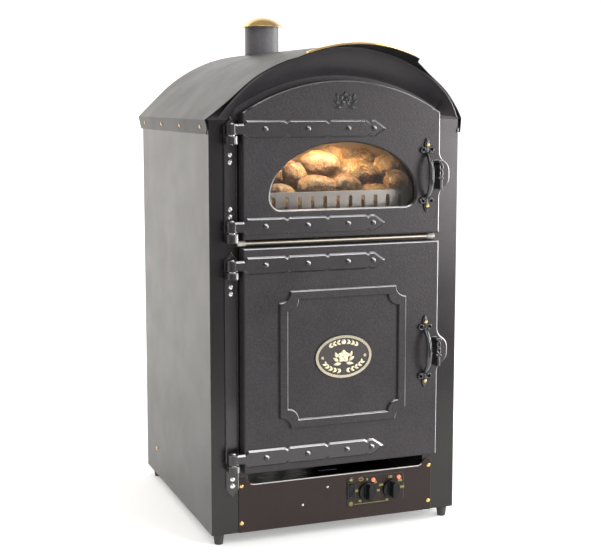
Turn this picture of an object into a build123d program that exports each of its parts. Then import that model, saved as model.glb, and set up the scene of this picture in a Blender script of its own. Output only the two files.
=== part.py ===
"""Baked potato oven: an arched counter-top cabinet with a lit display over a fan-assisted oven.

Frame: millimetres, +Z up, +X to the right of someone facing the doors, the doors towards -Y.
The origin is on the counter, midway along the whole depth, on the cabinet's centre line.
"""

import os
from math import atan, atan2, cos, degrees, radians, sin, sqrt, tan

from build123d import *

os.makedirs("parts", exist_ok=True)

# ---- cabinet -------------------------------------------------------------------------------
cabinet_width = 496.0
cabinet_depth = 493.0
sheet = 1.5
front_plate = 3.0  # front frame and gable
fold = 15.0  # return flanges of the side panels
base_rim = 12.0
fit_gap = 0.3  # between pieces that must not touch

# ---- feet ----------------------------------------------------------------------------------
foot_height = 21.0
foot_radius = 10.5
foot_tip_radius = 8.0
foot_inset_side = 17.0
foot_inset_front = 14.0
foot_inset_back = 26.0

# ---- roof and hood -------------------------------------------------------------------------
roof_rise = 132.0  # eaves to ridge
eave_slope = 45.5  # lean of the straight eaves from upright, degrees
eave_overhang = 7.0
roof_sheet = 1.6
roof_back_overhang = 10.0
seam_drop = 12.5  # eaves below the upper door's top corners
flange_drop = 26.0
flange_clip = 9.0
hood_reach = 112.0  # furthest point in front of the cabinet's front
hood_corner = (115.0, 103.0)
hood_notch = (124.5, 76.0)
hood_shoulder = (154.0, 52.0)
hood_wings = ((28.0, 26.0), (52.0, 38.0), (89.0, 45.0))  # in from the eave, forward of the front
trim_half = 99.0
trim_width = 8.0
trim_height = 3.0
soffit_reach = 42.0
soffit_sheet = 2.4
soffit_sill = 9.0  # from the top of the upper door to the soffit
rivet_radius = 3.6
rivet_height = 2.2
rivet_shank = 1.6
rivet_first = 38.0
rivet_count = 4
side_screw_inset = 86.0  # from the cabinet's back
side_screw_rise = 58.0

# ---- chimney -------------------------------------------------------------------------------
chimney_radius = 36.0
chimney_wall = 1.5
chimney_rise = 59.5  # above the ridge
chimney_inset = 62.0  # in front of the cabinet's back
cap_radius = 44.5
cap_rise = 20.0
cap_sheet = 1.2
cap_drop = 2.0  # rim of the cap below the top of the tube
cap_leg = 14.0
cap_leg_width = 9.0

# ---- doors ---------------------------------------------------------------------------------
door_width = 390.0
door_offset = 1.5  # doors sit a little right of the cabinet's centre
door_depth = 24.0
door_stand_off = 4.0  # back face of a door from the cabinet's front
door_skin = 8.0
door_rim = 13.0
door_lap_lower = 25.0  # each side of the oven's mouth
door_lap_upper = 30.0  # each side of the display's mouth
door_edge = 3.4
lower_sill = 139.5
lower_height = 416.0
door_gap = 15.0
upper_side_height = 227.0
upper_crown = 58.0  # rise of the arched top over its corners
tab_reach = 21.0
tab_flat = 12.0
tab_blend = 37.0
upper_tab_rise = 110.5  # above the door's sill
lower_tab_rise = 204.5
seal_width = 7.0
seal_inset = 3.0

# ---- upper door's window -------------------------------------------------------------------
window_half = 145.0
window_shoulder_rise = 74.5  # above the door's sill
window_rise = 98.5
window_sill_rise = 52.5
window_corner = 22.0
window_offset = 3.0
window_bevel = 2.4
glass_thickness = 4.0
glass_overlap = 9.0
retainer_sheet = 1.5
retainer_overlap = 4.0

# ---- lower door's moulding, inner pan and badge --------------------------------------------
mould_half_width = 126.5
mould_half_height = 128.0
mould_corner = 21.0
mould_width = 16.0
mould_height = 5.0
mould_rise = 207.0  # centre above the door's sill
pan_depth = 14.0  # into the oven's mouth
pan_sheet = 1.2
pan_margin = 9.0
badge_half_width = 56.0
badge_half_height = 40.0
badge_thickness = 3.4
badge_rim = 5.0
badge_field = 1.4
stud_radius = 3.0
stud_spread = 42.5

# ---- hinges --------------------------------------------------------------------------------
hinge_inset = 17.5  # axis outside the doors' left edge
hinge_out = 21.5  # hinge axis in front of the cabinet's front
barrel_radius = 10.5
pin_radius = 3.0
pin_clearance = 0.05
lug_half = 9.5
lug_gap = 2.5
strap_half = 16.0
strap_head = 22.5  # length of the arrow head
strap_bevel = 3.2
strap_neck = 18.0  # length of the narrow part beside the barrel
strap_flare = 7.0
strap_thickness = 4.0
strap_length = 295.5  # from the hinge axis, as the notches and rivets are
strap_notches = (101.0, 180.0, 260.5)
strap_rivets = (59.0, 140.0, 219.0, 269.5)
strap_notch_half = 5.0
strap_notch_depth = 3.4
strap_rivet_radius = 5.6
strap_rivet_height = 3.6
strap_shank = 2.4
strap_bite = 3.0
lower_hinge_insets = (29.0, 31.0)  # from the door's bottom and top
upper_hinge_insets = (24.0, 29.0)
fixed_lugs = (12.0, 12.0, 16.5, 14.5)
rail_shift = 2.5  # rail centre right of the hinge axis
rail_width = 24.4
rail_thickness = 4.0
rail_point = 16.5
rail_bevel = 1.4
lower_rail_ends = (-49.0, -7.0)  # above the door's bottom and top
upper_rail_ends = (-8.5, -6.5)
lower_rail_screws = ((23.0, 36.0), (77.0, 64.0))  # from the rail's bottom and top
upper_rail_screws = ((49.0, 62.5), (81.5, 68.0))
screw_radius = 4.6
screw_height = 2.8
rail_screw_radius = 5.5
rail_screw_height = 3.4
screw_shank = 2.0

# ---- pulls ---------------------------------------------------------------------------------
pull_inset = 28.5  # from the doors' right edge
pull_rise = 28.0
pull_half = 57.0  # screws from the middle of the pull
pull_plate = 6.0
pull_bow_width = 9.0
pull_bow_depth = 8.0
pull_bow_half = 40.0
finial = 13.0
lobe_spread = 8.2
lobe_radius = 5.4
lobe_hole = 2.2
upper_pull_rise = 109.5  # above the door's sill
lower_pull_rise = 205.0
catch_inset = 7.5
catch_depth = 21.0
catch_half_width = 4.2

# ---- bar between the doors -----------------------------------------------------------------
bar_out = 10.0
bar_radius = 3.9
bar_overruns = (5.5, -1.5)  # past the doors' left and right edges
ferrule_radius = 4.8
ferrule_length = 15.0
bar_post_x = 150.0

# ---- fascia and controls -------------------------------------------------------------------
fascia_overrun = 2.5  # past the doors' right edge
fascia_height = 104.0
fascia_thickness = 2.0
vent_depth = 13.0  # long slot along the fascia's top
vent_margin = 13.0
vent_slope = 12.0  # how far each end of the slot leans in
vent_corner = 9.0
plate_inset = 59.0  # from the fascia's right edge
plate_width = 120.0
plate_z = (45.0, 103.5)
plate_thickness = 1.0
plate_corner = 8.0
timer_across = 42.5  # from the plate's left edge, as the next four are
thermostat_across = 93.0
knob_height = 72.5
knob_radius = 18.0
knob_skirt = 5.0
knob_grip = 15.0
knob_grip_half = 5.2
knob_stand_off = 0.6
spindle_radius = 3.0
spindle_clearance = 0.05
control_size = 40.0
control_depth = 32.0
neon_radius = 4.0
neon_height = 3.0
neon_z = 94.2
neons_across = (55.0, 109.0)
switch_across = 9.0
switch_z = 78.0
switch_size = (13.0, 28.0)
switch_bezel = 1.6
switch_wall = 1.6
switch_depth = 16.0
rocker_pin = 1.5
fascia_screw_inset = 5.4
fascia_screw_heights = (39.0, 110.5)
fascia_pips = ((-19.0, 90.0), (-69.5, 60.5))

# ---- display compartment -------------------------------------------------------------------
liner_sheet = 1.2
mouth_lip = 5.0  # each side of a mouth to the wall of its compartment
display_back_space = 19.0  # compartment to the cabinet's outside back
display_mouth_insets = (33.5, 33.5)  # from the upper door's sill and corners
display_floor_drop = 8.0
display_ceiling_rise = 4.0
rib_height = 10.0
rib_inset = 50.0  # from the compartment's walls
tray_gaps = (28.0, 14.0)  # from the left and right walls
tray_set_back = 14.0
tray_back_gap = 90.0
tray_sheet = 1.5
tray_wall = 30.0
guard_height = 45.0
guard_pitch = 25.5
guard_slots = 11
guard_slot_width = 7.0
guard_slot_z = (10.0, 36.5)
tray_corner = 14.0
lamp_radius = 8.0
lamp_length = 200.0
lamp_back = 26.0
lamp_socket = 22.0

# ---- oven compartment ----------------------------------------------------------------------
oven_back_space = 93.0  # oven to the cabinet's outside back, for the fan's motor
oven_mouth_insets = (38.5, 41.5)  # from the lower door's bottom and top
oven_lip = 6.0
insulation = 34.0
rack_levels = (70.0, 165.0, 260.0)  # runners above the oven's floor
rack_back_gap = 36.0  # from the fan's space
rack_ledge = 14.0
rack_sheet = 2.0
rack_set_back = 22.0
shelf_rod = 3.0
shelf_wire = 1.5
shelf_wires = 13
shelf_back_gap = 10.0
guard_size = 250.0
fan_space = 42.0
fan_radius = 78.0
fan_depth = 22.0
fan_blades = 8
fan_hub = 14.0
motor_radius = 34.0
motor_length = 55.0
element_radius = 98.0
element_tube = 4.0
terminal_half = 12.0  # each side of the ring's centre line
floor_element_tube = 3.0

# ---- back ----------------------------------------------------------------------------------
louvre_length = 46.0
louvre_height = 5.0
louvre_rises = (70.0, 390.0)  # centres above the cabinet's bottom
louvre_pitch = (64.0, 14.0)
louvre_count = (4, 4)
base_louvre_pitch = (70.0, 60.0)
base_louvre_count = (4, 3)
gable_louvre_rise = 40.0  # above the eaves
back_screw_inset = 8.0
back_screw_margin = 40.0
gland_inset = 78.0  # from the cabinet's right side
gland_z = 75.0
gland_radius = 11.0
gland_bore = 5.0
gland_reach = 8.0

# ---- places worked out from the sizes ------------------------------------------------------
half_width = cabinet_width / 2
door_left = door_offset - door_width / 2
door_right = door_offset + door_width / 2
lower_top = lower_sill + lower_height
upper_sill = lower_top + door_gap
upper_side = upper_sill + upper_side_height
door_back = door_stand_off
door_front = door_stand_off + door_depth

z_base = foot_height
z_seam = upper_side - seam_drop
z_ridge = z_seam + roof_rise
seam_height = z_seam - z_base
front_y = (hood_reach - cabinet_depth - roof_back_overhang) / 2
back_y = front_y + cabinet_depth
shell_front = front_y + front_plate
shell_back = back_y - sheet

eave_x = half_width + eave_overhang
roof_lean = radians(eave_slope)
roof_radius = (eave_x * cos(roof_lean) - roof_rise * sin(roof_lean)) / (1 - sin(roof_lean))
roof_centre = z_ridge - roof_radius
chimney_y = back_y - chimney_inset

crown_radius = ((door_width / 2) ** 2 + upper_crown**2) / (2 * upper_crown)
crown_centre = upper_side + upper_crown - crown_radius
tab_turn = 2 * degrees(atan(tab_reach / tab_blend))
tab_radius = tab_blend / 2 / sin(radians(tab_turn))
tab_half = tab_flat / 2 + tab_blend
upper_tab_height = upper_sill + upper_tab_rise
lower_tab_height = lower_sill + lower_tab_rise
upper_pull_height = upper_sill + upper_pull_rise
lower_pull_height = lower_sill + lower_pull_rise
pull_x = door_right - pull_inset
catch_x = door_right - catch_inset
window_shoulder = upper_sill + window_shoulder_rise
window_sill = upper_sill + window_sill_rise
mould_centre = (door_offset - 0.5, lower_sill + mould_rise)

hinge_x = door_left - hinge_inset
rail_x = hinge_x + rail_shift
hinge_heights = (
    lower_sill + lower_hinge_insets[0], lower_top - lower_hinge_insets[1],
    upper_sill + upper_hinge_insets[0], upper_side - upper_hinge_insets[1],
)
lower_rail = (lower_sill + lower_rail_ends[0], lower_top + lower_rail_ends[1])
upper_rail = (upper_sill + upper_rail_ends[0], upper_side + upper_rail_ends[1])


def along_rail(ends, screws):
    """Heights of a rail's screws, given from its bottom and from its top."""
    return [ends[0] + rise for rise in screws[0]] + [ends[1] - drop for drop in screws[1]]


rail_screws = along_rail(lower_rail, lower_rail_screws) + along_rail(upper_rail, upper_rail_screws)
bar_height = (lower_top + upper_sill) / 2
bar_ends = (door_left - bar_overruns[0], door_right + bar_overruns[1])

fascia_top = z_base + fascia_height
fascia_left = rail_x + rail_width / 2 + fit_gap
fascia_right = door_right + fascia_overrun
fascia_screws = [
    (x, z)
    for x in (fascia_left + fascia_screw_inset, fascia_right - fascia_screw_inset)
    for z in fascia_screw_heights
]
plate_right = fascia_right - plate_inset
plate_x = (plate_right - plate_width, plate_right)
timer_x = plate_x[0] + timer_across
thermostat_x = plate_x[0] + thermostat_across
neon_x = [plate_x[0] + across for across in neons_across]
switch_x = plate_x[0] + switch_across

display_mouth = (
    door_width - 2 * door_lap_upper,
    upper_sill + display_mouth_insets[0], upper_side - display_mouth_insets[1],
)
display_width = display_mouth[0] + 2 * mouth_lip
display_depth = cabinet_depth - display_back_space
display_floor = display_mouth[1] - display_floor_drop
display_ceiling = display_mouth[2] + display_ceiling_rise
rib_x = display_width / 2 - rib_inset
tray_width = display_width - sum(tray_gaps)
tray_offset = (tray_gaps[0] - tray_gaps[1]) / 2
tray_depth = display_depth - tray_set_back - tray_back_gap
oven_mouth = (
    door_width - 2 * door_lap_lower,
    lower_sill + oven_mouth_insets[0], lower_top - oven_mouth_insets[1],
)
oven_width = oven_mouth[0] + 2 * mouth_lip
oven_depth = cabinet_depth - oven_back_space
oven_floor = oven_mouth[1] - oven_lip
oven_ceiling = oven_mouth[2] + oven_lip
rack_depth = oven_depth - rack_set_back - fan_space - rack_back_gap
shelf_depth = rack_depth - shelf_back_gap
gland_x = half_width - gland_inset


def front_at(out):
    """Plane `out` millimetres in front of the cabinet's front, seen from the front."""
    return Plane(origin=(0, front_y - out, 0), x_dir=(1, 0, 0), z_dir=(0, -1, 0))


def save(piece, name):
    """Label a finished piece and write it as its own STEP file."""
    piece.part.label = name
    export_step(piece.part, f"parts/{name}.step")


# ---- shared outlines -----------------------------------------------------------------------
def roof_points(inset, foot):
    """Tangent point and foot of the right-hand eave line, `inset` inside the roof's outside."""
    radius = roof_radius - inset
    top = (radius * cos(roof_lean), roof_centre + radius * sin(roof_lean))
    run = (top[1] - foot) / cos(roof_lean)
    return top, (top[0] + run * sin(roof_lean), foot)


def under_roof(inset, foot):
    """Closed face under the roof: two eave lines, the crown arc and a level foot."""
    top, low = roof_points(inset, foot)
    crown = (0, roof_centre + roof_radius - inset)
    with BuildSketch() as outline:
        with BuildLine():
            Line(low, top)
            ThreePointArc(top, crown, (-top[0], top[1]))
            Line((-top[0], top[1]), (-low[0], foot))
            Line((-low[0], foot), low)
        make_face()
    return outline.sketch


def hood_plan():
    """Plan of the roof: square at the back, the hood's winged and peaked edge at the front."""
    nose_x, nose_out = hood_corner
    notch_x, notch_out = hood_notch
    arm_x, arm_out = hood_shoulder
    wings = [(eave_x - dx, front_y - out) for dx, out in hood_wings]
    arm = (arm_x, front_y - arm_out)
    notch = (notch_x, front_y - notch_out)
    nose = (nose_x, front_y - nose_out)
    far = back_y + roof_back_overhang
    with BuildSketch() as plan:
        with BuildLine():
            Line((0, far), (eave_x, far))
            Line((eave_x, far), (eave_x, front_y))
            Spline((eave_x, front_y), *wings, arm, notch)
            Line(notch, nose)
            ThreePointArc(nose, (nose_x / 2, front_y - nose_out - (hood_reach - nose_out) * 0.8),
                          (0, front_y - hood_reach))
            Line((0, front_y - hood_reach), (0, far))
        make_face()
        mirror(about=Plane.YZ)
    return plan.sketch


def door_face(inset, sill, side, crown, tab=None):
    """Outline of a door, `inset` inside its edges, flat or arched on top, with a latch tab."""
    left = door_left + inset
    right = door_right - inset
    low = sill + inset
    middle = (left + right) / 2
    with BuildSketch() as outline:
        with BuildLine():
            if crown:
                radius = crown_radius - inset
                corner = crown_centre + sqrt(radius**2 - ((right - left) / 2) ** 2)
                ThreePointArc((right, corner), (middle, crown_centre + radius), (left, corner))
            else:
                corner = side - inset
                Line((right, corner), (left, corner))
            Line((left, corner), (left, low))
            Line((left, low), (right, low))
            if tab is None:
                Line((right, low), (right, corner))
            else:
                Line((right, low), (right, tab - tab_half))
                swell = JernArc((right, tab - tab_half), (0, 1), tab_radius, -tab_turn)
                ease = JernArc(swell @ 1, swell % 1, tab_radius, tab_turn)
                flat = Line(ease @ 1, (right + tab_reach, tab + tab_flat / 2))
                turn = JernArc(flat @ 1, (0, 1), tab_radius, tab_turn)
                JernArc(turn @ 1, turn % 1, tab_radius, -tab_turn)
                Line((right, tab + tab_half), (right, corner))
        make_face()
    return outline.sketch


def window_face(grow):
    """Half-moon of the window, `grow` outside the opening in the door."""
    half = window_half + grow
    sill = window_sill - grow
    bend = window_corner + grow
    left = window_offset - half
    right = window_offset + half
    knee = bend * (1 - sqrt(0.5))
    with BuildSketch() as outline:
        with BuildLine():
            EllipticalCenterArc((window_offset, window_shoulder), half, window_rise + grow,
                                arc_size=180)
            ThreePointArc((left, window_shoulder), (left + knee, sill + knee), (left + bend, sill))
            Line((left + bend, sill), (right - bend, sill))
            ThreePointArc((right - bend, sill), (right - knee, sill + knee), (right, window_shoulder))
        make_face()
    return outline.sketch


def scalloped_face(half_x, half_z, corner):
    """Rectangle whose corners are bitten out by quarter circles."""
    bite = corner * sqrt(0.5)
    with BuildSketch() as outline:
        with BuildLine():
            Line((corner - half_x, -half_z), (half_x - corner, -half_z))
            ThreePointArc((half_x - corner, -half_z), (half_x - bite, bite - half_z),
                          (half_x, corner - half_z))
            Line((half_x, corner - half_z), (half_x, half_z - corner))
            ThreePointArc((half_x, half_z - corner), (half_x - bite, half_z - bite),
                          (half_x - corner, half_z))
            Line((half_x - corner, half_z), (corner - half_x, half_z))
            ThreePointArc((corner - half_x, half_z), (bite - half_x, half_z - bite),
                          (-half_x, half_z - corner))
            Line((-half_x, half_z - corner), (-half_x, corner - half_z))
            ThreePointArc((-half_x, corner - half_z), (bite - half_x, bite - half_z),
                          (corner - half_x, -half_z))
        make_face()
    return outline.sketch


def domed(radius, height, shank, depth):
    """Domed screw or rivet: head standing on the XY plane, shank below it, for a pattern."""
    sphere = (radius**2 + height**2) / (2 * height)
    half_x = radius / 2
    half_z = height - sphere + sqrt(sphere**2 - half_x**2)
    with BuildPart() as fastener:
        with BuildSketch(Plane.XZ):
            with BuildLine():
                Polyline((0, height), (0, -depth), (shank, -depth), (shank, 0), (radius, 0))
                ThreePointArc((radius, 0), (half_x, half_z), (0, height))
            make_face()
        revolve(axis=Axis.Z)
    return fastener.part


# ---- cabinet shell -------------------------------------------------------------------------
foot_spots = [
    (side * (half_width - foot_inset_side), y)
    for side in (-1, 1)
    for y in (front_y + foot_inset_front, back_y - foot_inset_back)
]

with BuildPart() as base_panel:
    base_width = cabinet_width - 2 * sheet
    base_front = shell_front + sheet
    base_back = shell_back - sheet
    with BuildSketch(Plane.XY.offset(z_base)):
        with Locations((0, (base_front + base_back) / 2)):
            Rectangle(base_width, base_back - base_front)
    extrude(amount=base_rim)
    with BuildSketch(Plane.XY.offset(z_base + sheet)):
        with Locations((0, (base_front + base_back) / 2)):
            Rectangle(base_width - 2 * sheet, base_back - base_front - 2 * sheet)
    extrude(amount=base_rim, mode=Mode.SUBTRACT)
    with BuildSketch(Plane.XY.offset(z_base)):
        with Locations(*foot_spots):
            Circle(screw_shank + fit_gap)
        with Locations((0, (base_front + base_back) / 2)):
            with GridLocations(*base_louvre_pitch, *base_louvre_count):
                SlotOverall(louvre_length, louvre_height)
    extrude(amount=sheet, mode=Mode.SUBTRACT)
save(base_panel, "base_panel")


rivet_pitch = (cabinet_depth - 2 * rivet_first) / (rivet_count - 1)
rivet_spots = [front_y + rivet_first + rivet_pitch * i for i in range(rivet_count)]
side_screw = (back_y - side_screw_inset, z_base + side_screw_rise)


def side_panel(side):
    """Side sheet with folded flanges front and back; side is -1 for the left, 1 for the right."""
    outer = side * half_width
    inner = side * (half_width - sheet)
    lip = side * (half_width - fold)
    with BuildPart() as panel:
        with BuildSketch(Plane.XY.offset(z_base)):
            with BuildLine():
                Polyline(
                    (outer, shell_front), (outer, shell_back), (lip, shell_back),
                    (lip, shell_back - sheet), (inner, shell_back - sheet),
                    (inner, shell_front + sheet), (lip, shell_front + sheet), (lip, shell_front),
                    close=True,
                )
            make_face()
        extrude(amount=seam_height)
        with BuildSketch(Plane.YZ.offset(outer)):
            with Locations(side_screw):
                Circle(screw_shank + fit_gap)
        extrude(amount=-side * sheet, mode=Mode.SUBTRACT)
    return panel


side_panel_left = side_panel(-1)
save(side_panel_left, "side_panel_left")
side_panel_right = side_panel(1)
save(side_panel_right, "side_panel_right")

back_screws = [
    (side * (half_width - back_screw_inset), z)
    for side in (-1, 1)
    for z in (z_base + back_screw_margin, (z_base + z_seam) / 2, z_seam - back_screw_margin)
]
with BuildPart() as back_panel:
    with BuildSketch(front_at(-cabinet_depth)):
        with Locations((0, z_base + seam_height / 2)):
            Rectangle(cabinet_width, seam_height)
        add(under_roof(roof_sheet + fit_gap, z_seam))
        with Locations((0, z_seam + gable_louvre_rise), *[(0, z_base + rise) for rise in louvre_rises]):
            with GridLocations(*louvre_pitch, *louvre_count):
                SlotOverall(louvre_length, louvre_height, mode=Mode.SUBTRACT)
        with Locations((gland_x, gland_z)):
            Circle(gland_radius * 0.7 + fit_gap, mode=Mode.SUBTRACT)
        with Locations(*back_screws):
            Circle(screw_shank + fit_gap, mode=Mode.SUBTRACT)
    extrude(amount=sheet)
save(back_panel, "back_panel")

with BuildPart() as front_frame:
    with BuildSketch(front_at(0)):
        with Locations((0, z_base + seam_height / 2)):
            Rectangle(cabinet_width, seam_height)
        for wide, low, high in (display_mouth, oven_mouth):
            with Locations((0, (low + high) / 2)):
                RectangleRounded(wide, high - low, 6, mode=Mode.SUBTRACT)
        with Locations(((fascia_left + fascia_right) / 2, fascia_top - vent_depth / 2 + 4)):
            RectangleRounded(fascia_right - fascia_left - 2 * vent_margin - 10, vent_depth + 8, 5,
                             mode=Mode.SUBTRACT)
        with Locations((sum(plate_x) / 2, sum(plate_z) / 2)):
            Rectangle(plate_x[1] - plate_x[0] + 6, plate_z[1] - plate_z[0] - 2, mode=Mode.SUBTRACT)
        with Locations(*[(rail_x, z) for z in rail_screws], *fascia_screws, *fascia_pips):
            Circle(screw_shank + fit_gap, mode=Mode.SUBTRACT)
    extrude(amount=-front_plate)
save(front_frame, "front_frame")


def mix(start, end, share):
    """Keys of an arch a share of the way from one set of keys to another."""
    return [tuple(a + (b - a) * share for a, b in zip(p, q)) for p, q in zip(start, end)]


def arch_band(outer, inner):
    """Thin arched band between two sets of keys, each foot, knee and crown on the right."""
    (foot, knee, crown), (foot_in, knee_in, crown_in) = outer, inner
    with BuildSketch() as band:
        with BuildLine():
            Line(foot, knee)
            ThreePointArc(knee, crown, (-knee[0], knee[1]))
            Line((-knee[0], knee[1]), (-foot[0], foot[1]))
            Line((-foot[0], foot[1]), (-foot_in[0], foot_in[1]))
            Line((-foot_in[0], foot_in[1]), (-knee_in[0], knee_in[1]))
            ThreePointArc((-knee_in[0], knee_in[1]), crown_in, knee_in)
            Line(knee_in, foot_in)
            Line(foot_in, foot)
        make_face()
    return band.sketch


def roof_keys(inset):
    """Foot, knee and crown of an arch `inset` inside the roof's outside."""
    knee, foot = roof_points(inset, z_seam + fit_gap)
    return [foot, knee, (0, z_ridge - inset)]


def sill_keys(grow):
    """Foot, knee and crown of the arch that runs `grow` outside the upper door's top."""
    radius = crown_radius + grow
    knee_x = door_width / 2 + grow * 0.5
    knee_z = crown_centre + sqrt(radius**2 - knee_x**2)
    return [(knee_x + 1, upper_rail[1] + 2), (knee_x, knee_z), (0, crown_centre + radius)]


roof_seat = roof_sheet + fit_gap
with BuildPart() as gable_panel:
    low_keys = [sill_keys(soffit_sill + soffit_sheet), sill_keys(soffit_sill)]
    high_keys = [roof_keys(roof_seat), roof_keys(roof_seat + soffit_sheet)]
    for out, share in ((0.0, 0.0), (0.45, 0.66), (1.0, 1.0)):
        with BuildSketch(front_at(soffit_reach * out)):
            add(arch_band(*[mix(low, high, share) for low, high in zip(low_keys, high_keys)]))
    loft()
    with BuildSketch(front_at(0)):
        add(under_roof(roof_seat, z_seam))
    extrude(amount=-front_plate)
    with BuildSketch(Plane.XY.offset(z_seam)):
        add(hood_plan())
    extrude(amount=roof_rise, mode=Mode.INTERSECT)
save(gable_panel, "gable_panel")


# ---- roof ----------------------------------------------------------------------------------
flange_foot = (half_width + roof_sheet, z_seam - flange_drop)
flange_lean = atan2(eave_x - flange_foot[0], flange_drop)
flange_mid = ((eave_x + flange_foot[0]) / 2, z_seam - flange_drop / 2)


def inner_eave():
    """Corner where the inside of the roof sheet meets the inside of its flange."""
    knee, _ = roof_points(roof_sheet, z_seam)
    slope = -cos(roof_lean) / sin(roof_lean)
    side = 1 / tan(flange_lean)
    foot_x = flange_foot[0] - roof_sheet
    x = (knee[1] - slope * knee[0] - flange_foot[1] + side * foot_x) / (side - slope)
    return (x, knee[1] + slope * (x - knee[0]))


def roof_band():
    """Section of the roof sheet: crown, eaves and the two flanges folded in to the sides."""
    knee, eave = roof_points(0, z_seam)
    knee_in, _ = roof_points(roof_sheet, z_seam)
    eave_in = inner_eave()
    foot_in = (flange_foot[0] - roof_sheet, flange_foot[1])
    with BuildSketch() as band:
        with BuildLine():
            Polyline(knee, eave, flange_foot, foot_in, eave_in, knee_in)
            ThreePointArc(knee_in, (0, z_ridge - roof_sheet), (-knee_in[0], knee_in[1]))
            Polyline(*[(-x, z) for x, z in (knee_in, eave_in, foot_in, flange_foot, eave, knee)])
            ThreePointArc((-knee[0], knee[1]), (0, z_ridge), knee)
        make_face()
    return band.sketch


rivet_planes = [
    Plane(
        origin=(side * flange_mid[0], y, flange_mid[1]),
        x_dir=(0, 1, 0),
        z_dir=(side * cos(flange_lean), 0, -sin(flange_lean)),
    )
    for side in (-1, 1)
    for y in rivet_spots
]

with BuildPart() as roof_shell:
    with BuildSketch(front_at(hood_reach)):
        add(roof_band())
    extrude(amount=-(hood_reach + cabinet_depth + roof_back_overhang))
    with BuildSketch(Plane.XY.offset(z_seam - flange_drop - 1)):
        add(hood_plan())
    extrude(amount=roof_rise + flange_drop + 2, mode=Mode.INTERSECT)
    with BuildSketch(Plane.YZ):
        with BuildLine():
            Polyline(
                (front_y - 1, z_seam - flange_drop - 1),
                (front_y + flange_clip, z_seam - flange_drop - 1),
                (front_y - 1, z_seam - flange_drop + flange_clip + 3),
                close=True,
            )
        make_face()
    extrude(amount=eave_x + 1, both=True, mode=Mode.SUBTRACT)
    with Locations((0, chimney_y, z_ridge)):
        Cylinder(chimney_radius + fit_gap, 40, mode=Mode.SUBTRACT)
    with Locations(*rivet_planes):
        Cylinder(rivet_shank + 0.1, 4 * roof_sheet, mode=Mode.SUBTRACT)
save(roof_shell, "roof_shell")

with BuildPart() as roof_rivets:
    rivet = domed(rivet_radius, rivet_height, rivet_shank, roof_sheet)
    with Locations(*rivet_planes):
        add(rivet)
save(roof_rivets, "roof_rivets")

with BuildPart() as roof_trim:
    with BuildSketch(front_at(hood_reach)):
        add(under_roof(-trim_height, z_seam))
        add(under_roof(0, z_seam - 2), mode=Mode.SUBTRACT)
    extrude(amount=-hood_reach / 2)
    with BuildSketch(Plane.XY.offset(z_seam)):
        add(hood_plan())
        with Locations((0, front_y - hood_reach / 2)):
            Rectangle(2 * trim_half, hood_reach, mode=Mode.INTERSECT)
        with Locations((0, trim_width)):
            add(hood_plan(), mode=Mode.SUBTRACT)
    extrude(amount=roof_rise + 2 * trim_height, mode=Mode.INTERSECT)
save(roof_trim, "roof_trim")

chimney_foot = display_ceiling + liner_sheet
chimney_top = z_ridge + chimney_rise
cap_rim = chimney_top - cap_drop
cap_sphere = (cap_radius**2 + cap_rise**2) / (2 * cap_rise)

with BuildPart() as chimney_tube:
    with BuildSketch(Plane.XY.offset(chimney_foot)):
        with Locations((0, chimney_y)):
            Circle(chimney_radius)
            Circle(chimney_radius - chimney_wall, mode=Mode.SUBTRACT)
    extrude(amount=chimney_top - chimney_foot)
save(chimney_tube, "chimney_tube")


def cap_height(radius):
    """Height of the cap's outside at a radius from its axis."""
    return cap_rim + cap_rise - cap_sphere + sqrt(cap_sphere**2 - radius**2)


with BuildPart() as chimney_cap:
    with BuildSketch(Plane.XZ.offset(-chimney_y)):
        with BuildLine():
            ThreePointArc((cap_radius, cap_rim), (cap_radius / 2, cap_height(cap_radius / 2)),
                          (0, cap_rim + cap_rise))
            Line((0, cap_rim + cap_rise), (0, cap_rim + cap_rise - cap_sheet))
            ThreePointArc((0, cap_rim + cap_rise - cap_sheet),
                          (cap_radius / 2 - 0.3, cap_height(cap_radius / 2) - cap_sheet),
                          (cap_radius - cap_sheet, cap_rim))
            Line((cap_radius - cap_sheet, cap_rim), (cap_radius, cap_rim))
        make_face()
    revolve(axis=Axis((0, chimney_y, 0), (0, 0, 1)))
    leg_radius = sqrt((chimney_radius - chimney_wall - 0.1) ** 2 - (cap_leg_width / 2) ** 2) - cap_sheet / 2
    leg_top = cap_height(leg_radius) - cap_sheet / 2
    with Locations((0, chimney_y, leg_top)):
        with PolarLocations(leg_radius, 3):
            Box(cap_sheet, cap_leg_width, leg_top - chimney_top + cap_leg,
                align=(Align.CENTER, Align.CENTER, Align.MAX))
save(chimney_cap, "chimney_cap")

with BuildPart() as cabinet_feet:
    with Locations(*[(x, y, foot_height / 2) for x, y in foot_spots]):
        Cone(foot_tip_radius, foot_radius, foot_height)
    fillet(cabinet_feet.edges().group_by(Axis.Z)[0], 1.5)
    with Locations(*[(x, y, foot_height) for x, y in foot_spots]):
        Cylinder(screw_shank, sheet + 6, align=(Align.CENTER, Align.CENTER, Align.MIN))
save(cabinet_feet, "cabinet_feet")


# ---- compartments --------------------------------------------------------------------------
def liner_box(width, depth, low, high):
    """Open-fronted sheet box between two heights, `width` wide inside, behind the front frame."""
    with BuildPart() as box:
        with BuildSketch(Plane(origin=(0, shell_front, 0), x_dir=(1, 0, 0), z_dir=(0, -1, 0))):
            with Locations((0, (low + high) / 2)):
                Rectangle(width + 2 * liner_sheet, high - low + 2 * liner_sheet)
        extrude(amount=-(depth + liner_sheet))
        with BuildSketch(Plane(origin=(0, shell_front, 0), x_dir=(1, 0, 0), z_dir=(0, -1, 0))):
            with Locations((0, (low + high) / 2)):
                Rectangle(width, high - low)
        extrude(amount=-depth, mode=Mode.SUBTRACT)
    return box.part


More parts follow.
